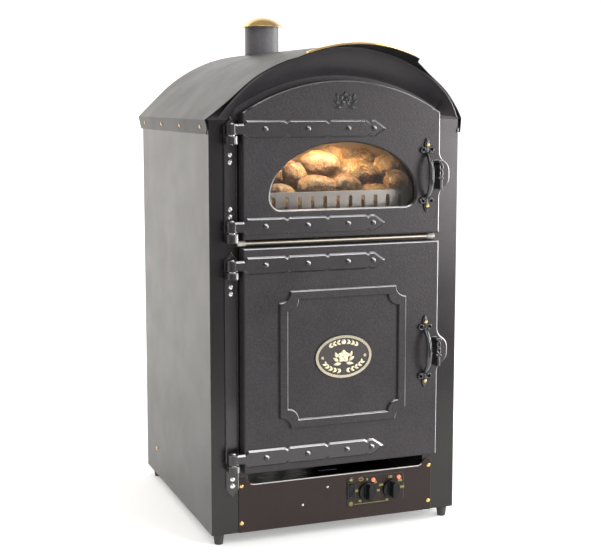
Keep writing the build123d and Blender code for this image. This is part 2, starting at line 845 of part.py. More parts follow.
with BuildPart() as display_liner:
    add(liner_box(display_width, display_depth, display_floor, display_ceiling))
    with Locations(*[(x, shell_front + 8, display_floor) for x in (-rib_x, rib_x)]):
        Box(6, display_depth - 16, rib_height, align=(Align.CENTER, Align.MIN, Align.MIN))
    with Locations((0, chimney_y, display_ceiling)):
        Cylinder(chimney_radius - chimney_wall - 1, 6 * liner_sheet, mode=Mode.SUBTRACT)
save(display_liner, "display_liner")

oven_back = shell_front + oven_depth
fan_z = (oven_floor + oven_ceiling) / 2
with BuildPart() as oven_liner:
    add(liner_box(oven_width, oven_depth, oven_floor, oven_ceiling))
    with Locations((0, oven_back, fan_z)):
        Cylinder(5.5, 6 * liner_sheet, rotation=(90, 0, 0), mode=Mode.SUBTRACT)
save(oven_liner, "oven_liner")

with BuildPart() as oven_insulation:
    wrap = liner_sheet + fit_gap
    with BuildSketch(Plane(origin=(0, shell_front + 6, 0), x_dir=(1, 0, 0), z_dir=(0, -1, 0))):
        with Locations((0, fan_z)):
            Rectangle(oven_width + 2 * (wrap + insulation), oven_ceiling - oven_floor + 2 * wrap + insulation)
            Rectangle(oven_width + 2 * wrap, oven_ceiling - oven_floor + 2 * wrap, mode=Mode.SUBTRACT)
    extrude(amount=-(oven_depth - 12))
save(oven_insulation, "oven_insulation")

tray_front = shell_front + tray_set_back
tray_z = display_floor + rib_height + fit_gap
with BuildPart() as display_tray:
    with BuildSketch(Plane.XY.offset(tray_z)):
        with Locations((tray_offset, tray_front + tray_depth / 2)):
            RectangleRounded(tray_width, tray_depth, tray_corner)
    extrude(amount=guard_height)
    with BuildSketch(Plane.XY.offset(tray_z + tray_sheet)):
        with Locations((tray_offset, tray_front + tray_depth / 2)):
            RectangleRounded(tray_width - 2 * tray_sheet, tray_depth - 2 * tray_sheet,
                             tray_corner - tray_sheet)
    extrude(amount=guard_height, mode=Mode.SUBTRACT)
    with BuildSketch(Plane.XY.offset(tray_z + tray_wall)):
        with Locations((tray_offset, tray_front + tray_corner + tray_depth / 2)):
            Rectangle(tray_width + 2, tray_depth)
    extrude(amount=guard_height, mode=Mode.SUBTRACT)
    with BuildSketch(Plane(origin=(tray_offset, tray_front, tray_z), x_dir=(1, 0, 0), z_dir=(0, -1, 0))):
        slot_low, slot_high = guard_slot_z
        with GridLocations(guard_pitch, 1, guard_slots, 1):
            with Locations((0, (slot_low + slot_high) / 2)):
                SlotOverall(slot_high - slot_low, guard_slot_width, rotation=90)
    extrude(amount=-2 * tray_sheet, mode=Mode.SUBTRACT)
save(display_tray, "display_tray")

lamp_y = shell_front + lamp_back
lamp_z = display_ceiling - lamp_radius - 4
with BuildPart() as lamp_sockets:
    for side in (-1, 1):
        with Locations((side * (lamp_length / 2 + lamp_socket / 2), lamp_y, display_ceiling)):
            Box(lamp_socket, 2 * lamp_radius + 6, 2 * lamp_radius + 5,
                align=(Align.CENTER, Align.CENTER, Align.MAX))
    chamfer(lamp_sockets.edges().filter_by(Axis.X).group_by(Axis.Z)[0], 3)
    with Locations((0, lamp_y, lamp_z)):
        Cylinder(3.2, lamp_length + 12, rotation=(0, 90, 0), mode=Mode.SUBTRACT)
save(lamp_sockets, "lamp_sockets")

with BuildPart() as display_lamp:
    with Locations((0, lamp_y, lamp_z)):
        Cylinder(lamp_radius, lamp_length - 2 * fit_gap, rotation=(0, 90, 0))
    fillet(display_lamp.edges(), 2.5)
    with Locations((0, lamp_y, lamp_z)):
        Cylinder(3, lamp_length + 10, rotation=(0, 90, 0))
save(display_lamp, "display_lamp")

fan_y = oven_back - fan_space
guard_y = fan_y - 2
with BuildPart() as heating_elements:
    with Locations((0, oven_back - fan_space / 2, fan_z)):
        Torus(element_radius, element_tube, rotation=(90, 0, 0))
        for side in (-1, 1):
            with Locations((side * terminal_half, 0, -sqrt(element_radius**2 - terminal_half**2))):
                Cylinder(element_tube - 0.5, fan_space / 2, rotation=(90, 0, 0),
                         align=(Align.CENTER, Align.CENTER, Align.MAX))
    loop_z = display_floor + floor_element_tube + fit_gap
    loop_front = shell_front + 60
    loop_back = shell_front + display_depth
    with BuildLine() as loop:
        start = Line((-60, loop_back, loop_z), (-60, loop_front + 60, loop_z))
        bend = ThreePointArc(start @ 1, (0, loop_front, loop_z), (60, loop_front + 60, loop_z))
        Line(bend @ 1, (60, loop_back, loop_z))
    with BuildSketch(Plane(origin=loop.line @ 0, z_dir=loop.line % 0)):
        Circle(floor_element_tube)
    sweep()
save(heating_elements, "heating_elements")

rack_top = oven_floor + max(rack_levels) + 40
rack_front = shell_front + rack_set_back
with BuildPart() as shelf_racks:
    wall_x = oven_width / 2
    with BuildSketch(Plane(origin=(0, rack_front, 0), x_dir=(1, 0, 0), z_dir=(0, -1, 0))):
        with Locations((wall_x - rack_sheet / 2, (oven_floor + rack_top) / 2)):
            Rectangle(rack_sheet, rack_top - oven_floor)
        for level in rack_levels:
            with Locations((wall_x, oven_floor + level)):
                Rectangle(rack_ledge, rack_sheet, align=(Align.MAX, Align.MAX))
            with Locations((wall_x, oven_floor + level + 4 * shelf_rod)):
                Rectangle(rack_ledge * 0.6, rack_sheet, align=(Align.MAX, Align.MIN))
        mirror(about=Plane.YZ)
    extrude(amount=-rack_depth)
save(shelf_racks, "shelf_racks")


def wire_shelf(level):
    """Wire shelf lying on a pair of runners: a rod frame with wires welded across it."""
    width = oven_width - 2 * rack_sheet - 2 * fit_gap - 2 * shelf_rod - 1
    frame_z = oven_floor + level + fit_gap + shelf_rod
    middle_y = rack_front + fit_gap + shelf_rod + shelf_depth / 2
    with BuildPart() as shelf:
        with Locations((0, middle_y, frame_z)):
            with GridLocations(width, 1, 2, 1):
                Cylinder(shelf_rod, shelf_depth + 2 * shelf_rod, rotation=(90, 0, 0))
            with GridLocations(1, shelf_depth / 2, 1, 3):
                Cylinder(shelf_rod, width + 2 * shelf_rod, rotation=(0, 90, 0))
            with Locations((0, 0, shelf_rod)):
                with GridLocations(width / (shelf_wires + 1), 1, shelf_wires, 1):
                    Cylinder(shelf_wire, shelf_depth + shelf_rod, rotation=(90, 0, 0))
    return shelf


for name, level in zip(("bottom", "middle", "top"), rack_levels):
    save(wire_shelf(level), f"oven_shelf_{name}")

with BuildPart() as fan_guard:
    plate_size = guard_size
    with BuildSketch(Plane(origin=(0, guard_y, fan_z), x_dir=(1, 0, 0), z_dir=(0, -1, 0))):
        RectangleRounded(plate_size, plate_size, 10)
        for ring, count in ((28, 8), (55, 14), (84, 20)):
            with PolarLocations(ring, count):
                SlotOverall(20, 6, mode=Mode.SUBTRACT)
    extrude(amount=liner_sheet)
    with Locations((0, guard_y, fan_z)):
        for side in (-1, 1):
            with Locations((side * (plate_size / 2 - 6), 0, 0)):
                Box(12, fan_space + 2, plate_size * 0.8, align=(Align.CENTER, Align.MIN, Align.CENTER))
                Box(12 - 2 * liner_sheet, fan_space + 2, plate_size, mode=Mode.SUBTRACT,
                    align=(Align.CENTER, Align.MIN, Align.CENTER))
save(fan_guard, "fan_guard")

with BuildPart() as fan_rotor:
    rotor_back = Plane(origin=(0, oven_back - 8, fan_z), x_dir=(1, 0, 0), z_dir=(0, -1, 0))
    with BuildSketch(rotor_back):
        Circle(fan_radius)
    extrude(amount=1.5)
    with BuildSketch(rotor_back):
        Circle(fan_hub)
        with PolarLocations((fan_radius + fan_hub) / 2, fan_blades):
            Rectangle(fan_radius - fan_hub + 2, 1.5, rotation=22)
        Circle(fan_radius - 0.5, mode=Mode.INTERSECT)
    extrude(amount=fan_depth)
    with Locations((0, oven_back - 8, fan_z)):
        Cylinder(spindle_radius + 1, motor_length + 8 + liner_sheet - 6, rotation=(90, 0, 0),
                 align=(Align.CENTER, Align.CENTER, Align.MAX))
save(fan_rotor, "fan_rotor")

motor_front = oven_back + liner_sheet
with BuildPart() as fan_motor:
    with BuildSketch(Plane(origin=(0, motor_front, fan_z), x_dir=(1, 0, 0), z_dir=(0, 1, 0))):
        RectangleRounded(3 * motor_radius, motor_radius, 6)
    extrude(amount=2)
    with BuildSketch(Plane(origin=(0, motor_front, fan_z), x_dir=(1, 0, 0), z_dir=(0, 1, 0))):
        Circle(motor_radius)
    extrude(amount=motor_length)
    fillet(fan_motor.faces().sort_by(Axis.Y)[-1].edges(), 4)
    with BuildSketch(Plane(origin=(0, motor_front, fan_z), x_dir=(1, 0, 0), z_dir=(0, 1, 0))):
        Circle(spindle_radius + 1 + pin_clearance)
    extrude(amount=motor_length - 4, mode=Mode.SUBTRACT)
save(fan_motor, "fan_motor")


# ---- doors ---------------------------------------------------------------------------------
rivet_x = [hinge_x + across for across in strap_rivets]


def door_casting(sill, side, crown, tab, pull_z, rivets):
    """Cast door: skin, deep rim with a latch tab, cast catch, blind holes for its fixings."""
    with BuildPart() as door:
        with BuildSketch(front_at(door_back)):
            add(door_face(0, sill, side, crown, tab))
        extrude(amount=door_depth)
        fillet(door.faces().sort_by(Axis.Y)[0].edges(), door_edge)
        with BuildSketch(front_at(door_back)):
            add(door_face(door_rim, sill, side, crown))
        extrude(amount=door_depth - door_skin, mode=Mode.SUBTRACT)
        with BuildSketch(front_at(door_front - 1)):
            with Locations((catch_x, tab)):
                with Locations((0, 15), (0, 3)):
                    Ellipse(catch_half_width, 7)
                with Locations((0, 24.5), (0, -6)):
                    RectangleRounded(11, 4.5, 1.5)
                with Locations((0, -15)):
                    Rectangle(5, 24)
                with Locations((0, 15), (0, 3)):
                    Ellipse(catch_half_width * 0.4, 4, mode=Mode.SUBTRACT)
        extrude(amount=catch_depth + 1)
        with BuildSketch(front_at(door_front)):
            with Locations(*[(x, z) for x in rivet_x for z in rivets]):
                Circle(strap_shank + 0.1)
            with Locations((pull_x, pull_z - pull_half), (pull_x, pull_z + pull_half)):
                Circle(screw_shank + 0.1)
        extrude(amount=-strap_bite, mode=Mode.SUBTRACT)
    return door.part


def door_seal(sill, side, crown):
    """Rope seal round the back of a door's rim, just clear of the cabinet."""
    with BuildPart() as seal:
        with BuildSketch(front_at(fit_gap)):
            add(door_face(seal_inset, sill, side, crown))
            add(door_face(seal_inset + seal_width, sill, side, crown), mode=Mode.SUBTRACT)
        extrude(amount=door_back - fit_gap)
    return seal


with BuildPart() as upper_door:
    add(door_casting(upper_sill, upper_side, upper_crown, upper_tab_height, upper_pull_height,
                     hinge_heights[2:]))
    with BuildSketch(front_at(door_front)):
        add(window_face(0))
    extrude(amount=-door_skin, mode=Mode.SUBTRACT)
    opening = upper_door.faces().filter_by(Axis.Y).sort_by(Axis.Y)[0:3].sort_by(SortBy.AREA)[-1]
    chamfer(opening.inner_wires().sort_by(SortBy.LENGTH)[-1].edges(), window_bevel)
save(upper_door, "upper_door")
upper_door_seal = door_seal(upper_sill, upper_side, upper_crown)
save(upper_door_seal, "upper_door_seal")

with BuildPart() as window_glass:
    with BuildSketch(front_at(door_front - door_skin - glass_thickness)):
        add(window_face(glass_overlap))
    extrude(amount=glass_thickness)
save(window_glass, "window_glass")

retainer_out = door_front - door_skin - glass_thickness - retainer_sheet
with BuildPart() as glass_retainer:
    with BuildSketch(front_at(retainer_out)):
        add(door_face(door_rim + fit_gap, upper_sill, upper_side, upper_crown))
        add(window_face(retainer_overlap), mode=Mode.SUBTRACT)
    extrude(amount=retainer_sheet)
    with BuildSketch(front_at(retainer_out)):
        add(door_face(door_rim + fit_gap, upper_sill, upper_side, upper_crown))
        add(door_face(door_rim + fit_gap + glass_thickness, upper_sill, upper_side, upper_crown),
            mode=Mode.SUBTRACT)
    extrude(amount=glass_thickness + retainer_sheet)
save(glass_retainer, "glass_retainer")

with BuildPart() as lower_door:
    add(door_casting(lower_sill, lower_top, 0, lower_tab_height, lower_pull_height,
                     hinge_heights[:2]))
    with BuildSketch(front_at(door_front)):
        with Locations(mould_centre):
            add(scalloped_face(mould_half_width, mould_half_height, mould_corner))
            add(scalloped_face(mould_half_width - mould_width, mould_half_height - mould_width,
                               mould_corner), mode=Mode.SUBTRACT)
    extrude(amount=mould_height)
    fillet(lower_door.faces().filter_by(Axis.Y).group_by(Axis.Y)[1].edges(), mould_height * 0.4)
save(lower_door, "lower_door")
lower_door_seal = door_seal(lower_sill, lower_top, 0)
save(lower_door_seal, "lower_door_seal")

pan_wide, pan_low, pan_high = oven_mouth
with BuildPart() as lower_door_pan:
    with BuildSketch(front_at(-pan_depth)):
        with Locations((0, (pan_low + pan_high) / 2)):
            RectangleRounded(pan_wide - 2 * pan_margin, pan_high - pan_low - 2 * pan_margin, 8)
    extrude(amount=pan_depth + door_front - door_skin)
    with BuildSketch(front_at(pan_sheet - pan_depth)):
        with Locations((0, (pan_low + pan_high) / 2)):
            RectangleRounded(pan_wide - 2 * (pan_margin + pan_sheet),
                             pan_high - pan_low - 2 * (pan_margin + pan_sheet), 8 - pan_sheet)
    extrude(amount=pan_depth + door_front, mode=Mode.SUBTRACT)
save(lower_door_pan, "lower_door_pan")

with BuildPart() as door_badge:
    with BuildSketch(front_at(door_front)):
        with Locations(mould_centre):
            Ellipse(badge_half_width, badge_half_height)
    extrude(amount=badge_thickness)
    with BuildSketch(front_at(door_front + badge_thickness)):
        with Locations(mould_centre):
            Ellipse(badge_half_width - badge_rim, badge_half_height - badge_rim)
    extrude(amount=-badge_field, mode=Mode.SUBTRACT)
    field = badge_thickness - badge_field
    studs = [(mould_centre[0] + side * stud_spread, mould_centre[1]) for side in (-1, 1)]
    with Locations(*[front_at(door_front + field) * Location((x, z, 0)) for x, z in studs]):
        Cylinder(stud_radius, badge_field, align=(Align.CENTER, Align.CENTER, Align.MIN))
save(door_badge, "door_badge")


# ---- hinges --------------------------------------------------------------------------------
def half_strap(height):
    """Points along the upper edge of a strap from its barrel to its tip, then mirrored below."""
    root = hinge_x + strap_neck
    upper = [(hinge_x, lug_half), (root, lug_half), (root + strap_flare, strap_half)]
    for notch in [hinge_x + across for across in strap_notches]:
        upper += [(notch - strap_notch_half, strap_half), (notch, strap_half - strap_notch_depth),
                  (notch + strap_notch_half, strap_half)]
    tip = hinge_x + strap_length
    upper += [(tip - strap_head, strap_half), (tip, 0)]
    lower = [(x, -z) for x, z in reversed(upper[:-1])]
    return [(x, height + z) for x, z in upper + lower]


def hinge_straps(heights):
    """Two cast straps with notched edges, arrow tips and a barrel round the hinge pin."""
    with BuildPart() as straps:
        for height in heights:
            with BuildSketch(front_at(door_front)):
                with BuildLine():
                    Polyline(*half_strap(height), close=True)
                make_face()
            extrude(amount=strap_thickness)
        chamfer(straps.faces().filter_by(Axis.Y).group_by(Axis.Y)[0].edges(), strap_bevel)
        with BuildSketch(front_at(door_front)):
            with Locations(*[(x, height) for x in rivet_x for height in heights]):
                Circle(strap_shank + 0.1)
        extrude(amount=strap_thickness, mode=Mode.SUBTRACT)
        for height in heights:
            with Locations((hinge_x, front_y - hinge_out, height)):
                Cylinder(barrel_radius, 2 * lug_half)
        for height in heights:
            with Locations((hinge_x, front_y - hinge_out, height)):
                Cylinder(pin_radius + pin_clearance, 2 * lug_half + 2, mode=Mode.SUBTRACT)
    return straps


def strap_rivet_set(heights):
    """Domed rivets that hold a door's straps."""
    rivet = domed(strap_rivet_radius, strap_rivet_height, strap_shank, strap_thickness + strap_bite)
    face = front_at(door_front + strap_thickness)
    with BuildPart() as rivets:
        with Locations(*[face * Location((x, z, 0)) for x in rivet_x for z in heights]):
            add(rivet)
    return rivets


def hinge_rail(ends, heights, lugs, screws):
    """Pointed rail screwed to the cabinet, with the fixed lugs cast on."""
    low, high = ends
    half = rail_width / 2
    with BuildPart() as rail:
        with BuildSketch(front_at(0)):
            with BuildLine():
                Polyline((rail_x - half, low + rail_point), (rail_x - half, high - rail_point),
                         (rail_x, high), (rail_x + half, high - rail_point),
                         (rail_x + half, low + rail_point), (rail_x, low), close=True)
            make_face()
        extrude(amount=rail_thickness)
        chamfer(rail.faces().filter_by(Axis.Y).group_by(Axis.Y)[0].edges(), rail_bevel)
        with BuildSketch(front_at(0)):
            with Locations(*[(rail_x, z) for z in screws]):
                Circle(screw_shank + 0.1)
        extrude(amount=rail_thickness, mode=Mode.SUBTRACT)
        for height, tall in zip(heights, lugs):
            with BuildSketch(Plane.XY.offset(height - lug_half - lug_gap - tall)):
                with Locations((hinge_x, front_y - hinge_out)):
                    Circle(barrel_radius)
                    Rectangle(2 * barrel_radius, hinge_out - rail_thickness,
                              align=(Align.CENTER, Align.MIN))
            extrude(amount=tall)
        for height, tall in zip(heights, lugs):
            with Locations((hinge_x, front_y - hinge_out, height - lug_half - lug_gap)):
                Cylinder(pin_radius + pin_clearance, 2 * tall + 2, mode=Mode.SUBTRACT)
    return rail


upper_door_straps = hinge_straps(hinge_heights[2:])
save(upper_door_straps, "upper_door_straps")
lower_door_straps = hinge_straps(hinge_heights[:2])
save(lower_door_straps, "lower_door_straps")
save(strap_rivet_set(hinge_heights[2:]), "upper_strap_rivets")
save(strap_rivet_set(hinge_heights[:2]), "lower_strap_rivets")
save(hinge_rail(upper_rail, hinge_heights[2:], fixed_lugs[2:], rail_screws[4:]), "hinge_rail_upper")
save(hinge_rail(lower_rail, hinge_heights[:2], fixed_lugs[:2], rail_screws[:4]), "hinge_rail_lower")

with BuildPart() as hinge_pins:
    for height, tall in zip(hinge_heights, fixed_lugs):
        seat = height - lug_half - lug_gap
        with Locations((hinge_x, front_y - hinge_out, seat)):
            Cylinder(pin_radius, tall + 1, align=(Align.CENTER, Align.CENTER, Align.MAX))
            Cylinder(barrel_radius * 0.66, lug_gap - 0.2, align=(Align.CENTER, Align.CENTER, Align.MIN))
            Cylinder(pin_radius, lug_gap + 2 * lug_half + 0.3,
                     align=(Align.CENTER, Align.CENTER, Align.MIN))
        with Locations((hinge_x, front_y - hinge_out, height + lug_half + 0.3)):
            Cone(barrel_radius * 0.5, barrel_radius * 0.3, 2, align=(Align.CENTER, Align.CENTER, Align.MIN))
save(hinge_pins, "hinge_pins")


# ---- pulls ---------------------------------------------------------------------------------
def door_pull(height):
    """Cast pull: a finial with a ram's-horn scroll at each end and a bow standing off the door."""
    with BuildPart() as pull:
        with BuildSketch(front_at(door_front)):
            for way in (-1, 1):
                screw = height + way * pull_half
                with BuildLine():
                    Line((pull_x - 5.2, screw - way * 4), (pull_x + 5.2, screw - way * 4))
                    ThreePointArc((pull_x + 5.2, screw - way * 4), (pull_x + 4.4, screw + way * 6),
                                  (pull_x, screw + way * finial))
                    ThreePointArc((pull_x, screw + way * finial), (pull_x - 4.4, screw + way * 6),
                                  (pull_x - 5.2, screw - way * 4))
                make_face()
                with Locations((pull_x, screw - way * 11)):
                    Rectangle(8.5, 20)
                with Locations(*[(pull_x + side * lobe_spread, screw - way * 9) for side in (-1, 1)]):
                    Circle(lobe_radius)
            for way in (-1, 1):
                screw = height + way * pull_half
                with Locations(*[(pull_x + side * lobe_spread, screw - way * 9) for side in (-1, 1)]):
                    Circle(lobe_hole, mode=Mode.SUBTRACT)
                with Locations((pull_x, screw)):
                    Circle(screw_shank + 0.1, mode=Mode.SUBTRACT)
        extrude(amount=pull_plate)
        with BuildLine() as bow:
            Spline(*[
                (pull_x, front_y - door_front - out, height + z)
                for out, z in (
                    (pull_plate / 2, pull_bow_half), (pull_rise * 0.72, pull_bow_half * 0.72),
                    (pull_rise, 0), (pull_rise * 0.72, -pull_bow_half * 0.72),
                    (pull_plate / 2, -pull_bow_half),
                )
            ])
        with BuildSketch(Plane(origin=bow.line @ 0, x_dir=(1, 0, 0), z_dir=bow.line % 0)):
            Ellipse(pull_bow_width / 2, pull_bow_depth / 2)
        sweep()
        with Locations((0, front_y - door_front, height)):
            Box(cabinet_width, pull_rise, 4 * pull_half, mode=Mode.SUBTRACT,
                align=(Align.CENTER, Align.MIN, Align.CENTER))
    return pull


def pull_screws(height):
    """Two domed brass screws through a pull."""
    screw = domed(screw_radius * 0.8, screw_height, screw_shank, pull_plate + strap_bite)
    face = front_at(door_front + pull_plate)
    with BuildPart() as screws:
        with Locations(*[face * Location((pull_x, height + way * pull_half, 0)) for way in (-1, 1)]):
            add(screw)
    return screws


for name, height in (("upper", upper_pull_height), ("lower", lower_pull_height)):
    save(door_pull(height), f"{name}_door_pull")
    save(pull_screws(height), f"{name}_pull_screws")

# ---- bar between the doors -----------------------------------------------------------------
with BuildPart() as divider_bar:
    bar_y = front_y - bar_out
    with Locations((sum(bar_ends) / 2, bar_y, bar_height)):
        Cylinder(bar_radius, bar_ends[1] - bar_ends[0], rotation=(0, 90, 0))
    for end, way in zip(bar_ends, (1, -1)):
        with Locations((end + way * ferrule_length / 2, bar_y, bar_height)):
            Cylinder(ferrule_radius, ferrule_length, rotation=(0, 90, 0))
    fillet(divider_bar.edges().group_by(Axis.X)[0], ferrule_radius * 0.6)
    fillet(divider_bar.edges().group_by(Axis.X)[-1], ferrule_radius * 0.6)
    with Locations(*[(side * bar_post_x, bar_y, bar_height) for side in (-1, 1)]):
        Cylinder(bar_radius * 0.8, bar_out, rotation=(90, 0, 0),
                 align=(Align.CENTER, Align.CENTER, Align.MAX))
save(divider_bar, "divider_bar")

# ---- fascia and controls -------------------------------------------------------------------
knobs = {"timer": timer_x, "thermostat": thermostat_x}
with BuildPart() as fascia_panel:
    left, right = fascia_left, fascia_right
    vent_floor = fascia_top - vent_depth
    with BuildSketch(front_at(0)):
        with BuildLine():
            panel_edge = FilletPolyline(
                (left, z_base), (right, z_base), (right, fascia_top),
                (right - vent_margin, fascia_top), (right - vent_margin - vent_slope, vent_floor),
                (left + vent_margin + vent_slope, vent_floor), (left + vent_margin, fascia_top),
                (left, fascia_top), (left, z_base + 1),
                radius=(0.5, 4, 4, vent_corner, vent_corner, 4, 4),
            )
            Line(panel_edge @ 1, panel_edge @ 0)
        make_face()
        with Locations(*fascia_screws, *fascia_pips):
            Circle(screw_shank + 0.1, mode=Mode.SUBTRACT)
        with Locations(*[(x, knob_height) for x in knobs.values()]):
            Circle(spindle_radius + 1, mode=Mode.SUBTRACT)
        with Locations(*[(x, neon_z) for x in neon_x]):
            Circle(neon_radius - 0.4, mode=Mode.SUBTRACT)
        with Locations((switch_x, switch_z)):
            Rectangle(*switch_size, mode=Mode.SUBTRACT)
    extrude(amount=fascia_thickness)
save(fascia_panel, "fascia_panel")

plate_out = fascia_thickness + plate_thickness
with BuildPart() as control_plate:
    with BuildSketch(front_at(fascia_thickness)):
        with Locations((sum(plate_x) / 2, sum(plate_z) / 2)):
            RectangleRounded(plate_x[1] - plate_x[0], plate_z[1] - plate_z[0], plate_corner)
        with Locations(*[(x, knob_height) for x in knobs.values()]):
            Circle(spindle_radius + 1, mode=Mode.SUBTRACT)
        with Locations(*[(x, neon_z) for x in neon_x]):
            Circle(neon_radius - 0.4, mode=Mode.SUBTRACT)
        with Locations((switch_x, switch_z)):
            Rectangle(*switch_size, mode=Mode.SUBTRACT)
    extrude(amount=plate_thickness)
save(control_plate, "control_plate")


def control_knob(x):
    """Round knob with a skirt and a bar grip across it, bored for its spindle."""
    with BuildPart() as knob:
        with BuildSketch(front_at(plate_out + knob_stand_off)):
            with Locations((x, knob_height)):
                Circle(knob_radius)
        extrude(amount=knob_skirt, taper=8)
        with BuildSketch(front_at(plate_out + knob_stand_off + knob_skirt)):
            with Locations((x, knob_height)):
                SlotOverall(2 * knob_radius - 3, 2 * knob_grip_half, rotation=90)
        extrude(amount=knob_grip, taper=4)
        fillet(knob.faces().sort_by(Axis.Y)[0].edges(), 1)
        with BuildSketch(front_at(plate_out + knob_stand_off)):
            with Locations((x, knob_height)):
                Circle(spindle_radius)
        extrude(amount=knob_skirt + 5, mode=Mode.SUBTRACT)
    return knob


def control_spindle(x):
    """Spindle from inside a control's housing into its knob."""
    with BuildPart() as spindle:
        with BuildSketch(front_at(-control_depth / 2)):
            with Locations((x, knob_height)):
                Circle(spindle_radius)
        extrude(amount=control_depth / 2 + plate_out + knob_stand_off + knob_skirt + 5)
    return spindle


for name, x in knobs.items():
    save(control_knob(x), f"{name}_knob")
    save(control_spindle(x), f"{name}_spindle")

with BuildPart() as control_housings:
    for x in knobs.values():
        with BuildSketch(front_at(-control_depth)):
            with Locations((x, knob_height)):
                RectangleRounded(control_size, control_size, 4)
        extrude(amount=control_depth)
        with BuildSketch(front_at(-control_depth / 2)):
            with Locations((x, knob_height)):
                Circle(spindle_radius + spindle_clearance)
        extrude(amount=control_depth / 2, mode=Mode.SUBTRACT)
save(control_housings, "control_housings")

with BuildPart() as neon_lamps:
    for x in neon_x:
        with BuildSketch(front_at(0)):
            with Locations((x, neon_z)):
                Circle(neon_radius - 0.5)
        extrude(amount=plate_out)
        with Locations(front_at(plate_out) * Location((x, neon_z, 0))):
            Cylinder(neon_radius, neon_height, align=(Align.CENTER, Align.CENTER, Align.MIN))
    fillet(neon_lamps.edges().group_by(Axis.Y)[0], 1.2)
save(neon_lamps, "neon_lamps")

wide, tall = switch_size
pivot_y = front_y - plate_out + 1.0
with BuildPart() as switch_body:
    with BuildSketch(front_at(plate_out)):
        with Locations((switch_x, switch_z)):
            Rectangle(wide + 3, tall + 3)
    extrude(amount=switch_bezel)
    with BuildSketch(front_at(-switch_depth)):
        with Locations((switch_x, switch_z)):
            Rectangle(wide - 0.2, tall - 0.2)
    extrude(amount=switch_depth + plate_out)
    with BuildSketch(front_at(-switch_depth + switch_wall)):
        with Locations((switch_x, switch_z)):
            Rectangle(wide - 2 * switch_wall, tall - 2 * switch_wall)
    extrude(amount=switch_depth + plate_out + switch_bezel, mode=Mode.SUBTRACT)
    with Locations((switch_x, pivot_y, switch_z)):
        Cylinder(rocker_pin + spindle_clearance, wide - 0.8, rotation=(0, 90, 0), mode=Mode.SUBTRACT)
save(switch_body, "switch_body")

rocker_wide = wide - 2 * switch_wall - 2 * fit_gap
rocker_half = tall / 2 - switch_wall - 1.2
with BuildPart() as switch_rocker:
    rocker_section = (
        (-3.4, -rocker_half), (-1.2, 0), (-3.4, rocker_half),
        (4.0, rocker_half - 3.5), (5.0, 0), (4.0, 3.5 - rocker_half),
    )
    with BuildSketch(Plane.YZ.offset(switch_x - rocker_wide / 2)):
        with BuildLine():
            Polyline(*[(pivot_y + y, switch_z + z) for y, z in rocker_section], close=True)
        make_face()
    extrude(amount=rocker_wide)
    with Locations((switch_x, pivot_y, switch_z)):
        Cylinder(rocker_pin, wide - 1.2, rotation=(0, 90, 0))
save(switch_rocker, "switch_rocker")

# ---- fasteners and cable gland -------------------------------------------------------------
steel_screw = domed(rail_screw_radius, rail_screw_height, screw_shank,
                    rail_thickness + front_plate)
small_screw = domed(screw_radius * 0.6, screw_height * 0.7, screw_shank * 0.8, fascia_thickness)
sheet_screw = domed(screw_radius, screw_height, screw_shank, sheet)
fascia_screw = domed(screw_radius, screw_height, screw_shank, fascia_thickness + front_plate)
back_face = Plane(origin=(0, back_y, 0), x_dir=(1, 0, 0), z_dir=(0, 1, 0))

with BuildPart() as steel_screws:
    with Locations(*[front_at(rail_thickness) * Location((rail_x, z, 0)) for z in rail_screws]):
        add(steel_screw)
    with Locations(*[front_at(fascia_thickness) * Location((x, z, 0)) for x, z in fascia_pips]):
        add(small_screw)
    with Locations(*[back_face * Location((x, -z, 0)) for x, z in back_screws]):
        add(sheet_screw)
save(steel_screws, "steel_screws")

with BuildPart() as brass_screws:
    with Locations(*[front_at(fascia_thickness) * Location((x, z, 0)) for x, z in fascia_screws]):
        add(fascia_screw)
    sides = [
        Plane(origin=(side * half_width, *side_screw), x_dir=(0, 1, 0), z_dir=(side, 0, 0))
        for side in (-1, 1)
    ]
    with Locations(*sides):
        add(sheet_screw)
save(brass_screws, "brass_screws")

with BuildPart() as cable_gland:
    gland_at = back_face * Location((gland_x, -gland_z, 0))
    with Locations(gland_at):
        Cylinder(gland_radius * 0.7, sheet + 9, align=(Align.CENTER, Align.CENTER, Align.MAX))
        Cylinder(gland_radius * 0.8, gland_reach, align=(Align.CENTER, Align.CENTER, Align.MIN))
    with BuildSketch(Plane(gland_at)):
        RegularPolygon(gland_radius, 6)
    extrude(amount=gland_reach * 0.5)
    with Locations(gland_at):
        Cylinder(gland_bore, 6 * gland_reach, mode=Mode.SUBTRACT)
save(cable_gland, "cable_gland")
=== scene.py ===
"""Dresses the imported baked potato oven: finishes for its nodes and the pieces too fine for CAD."""

import math
import random

import bmesh
import bpy
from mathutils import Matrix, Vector, noise


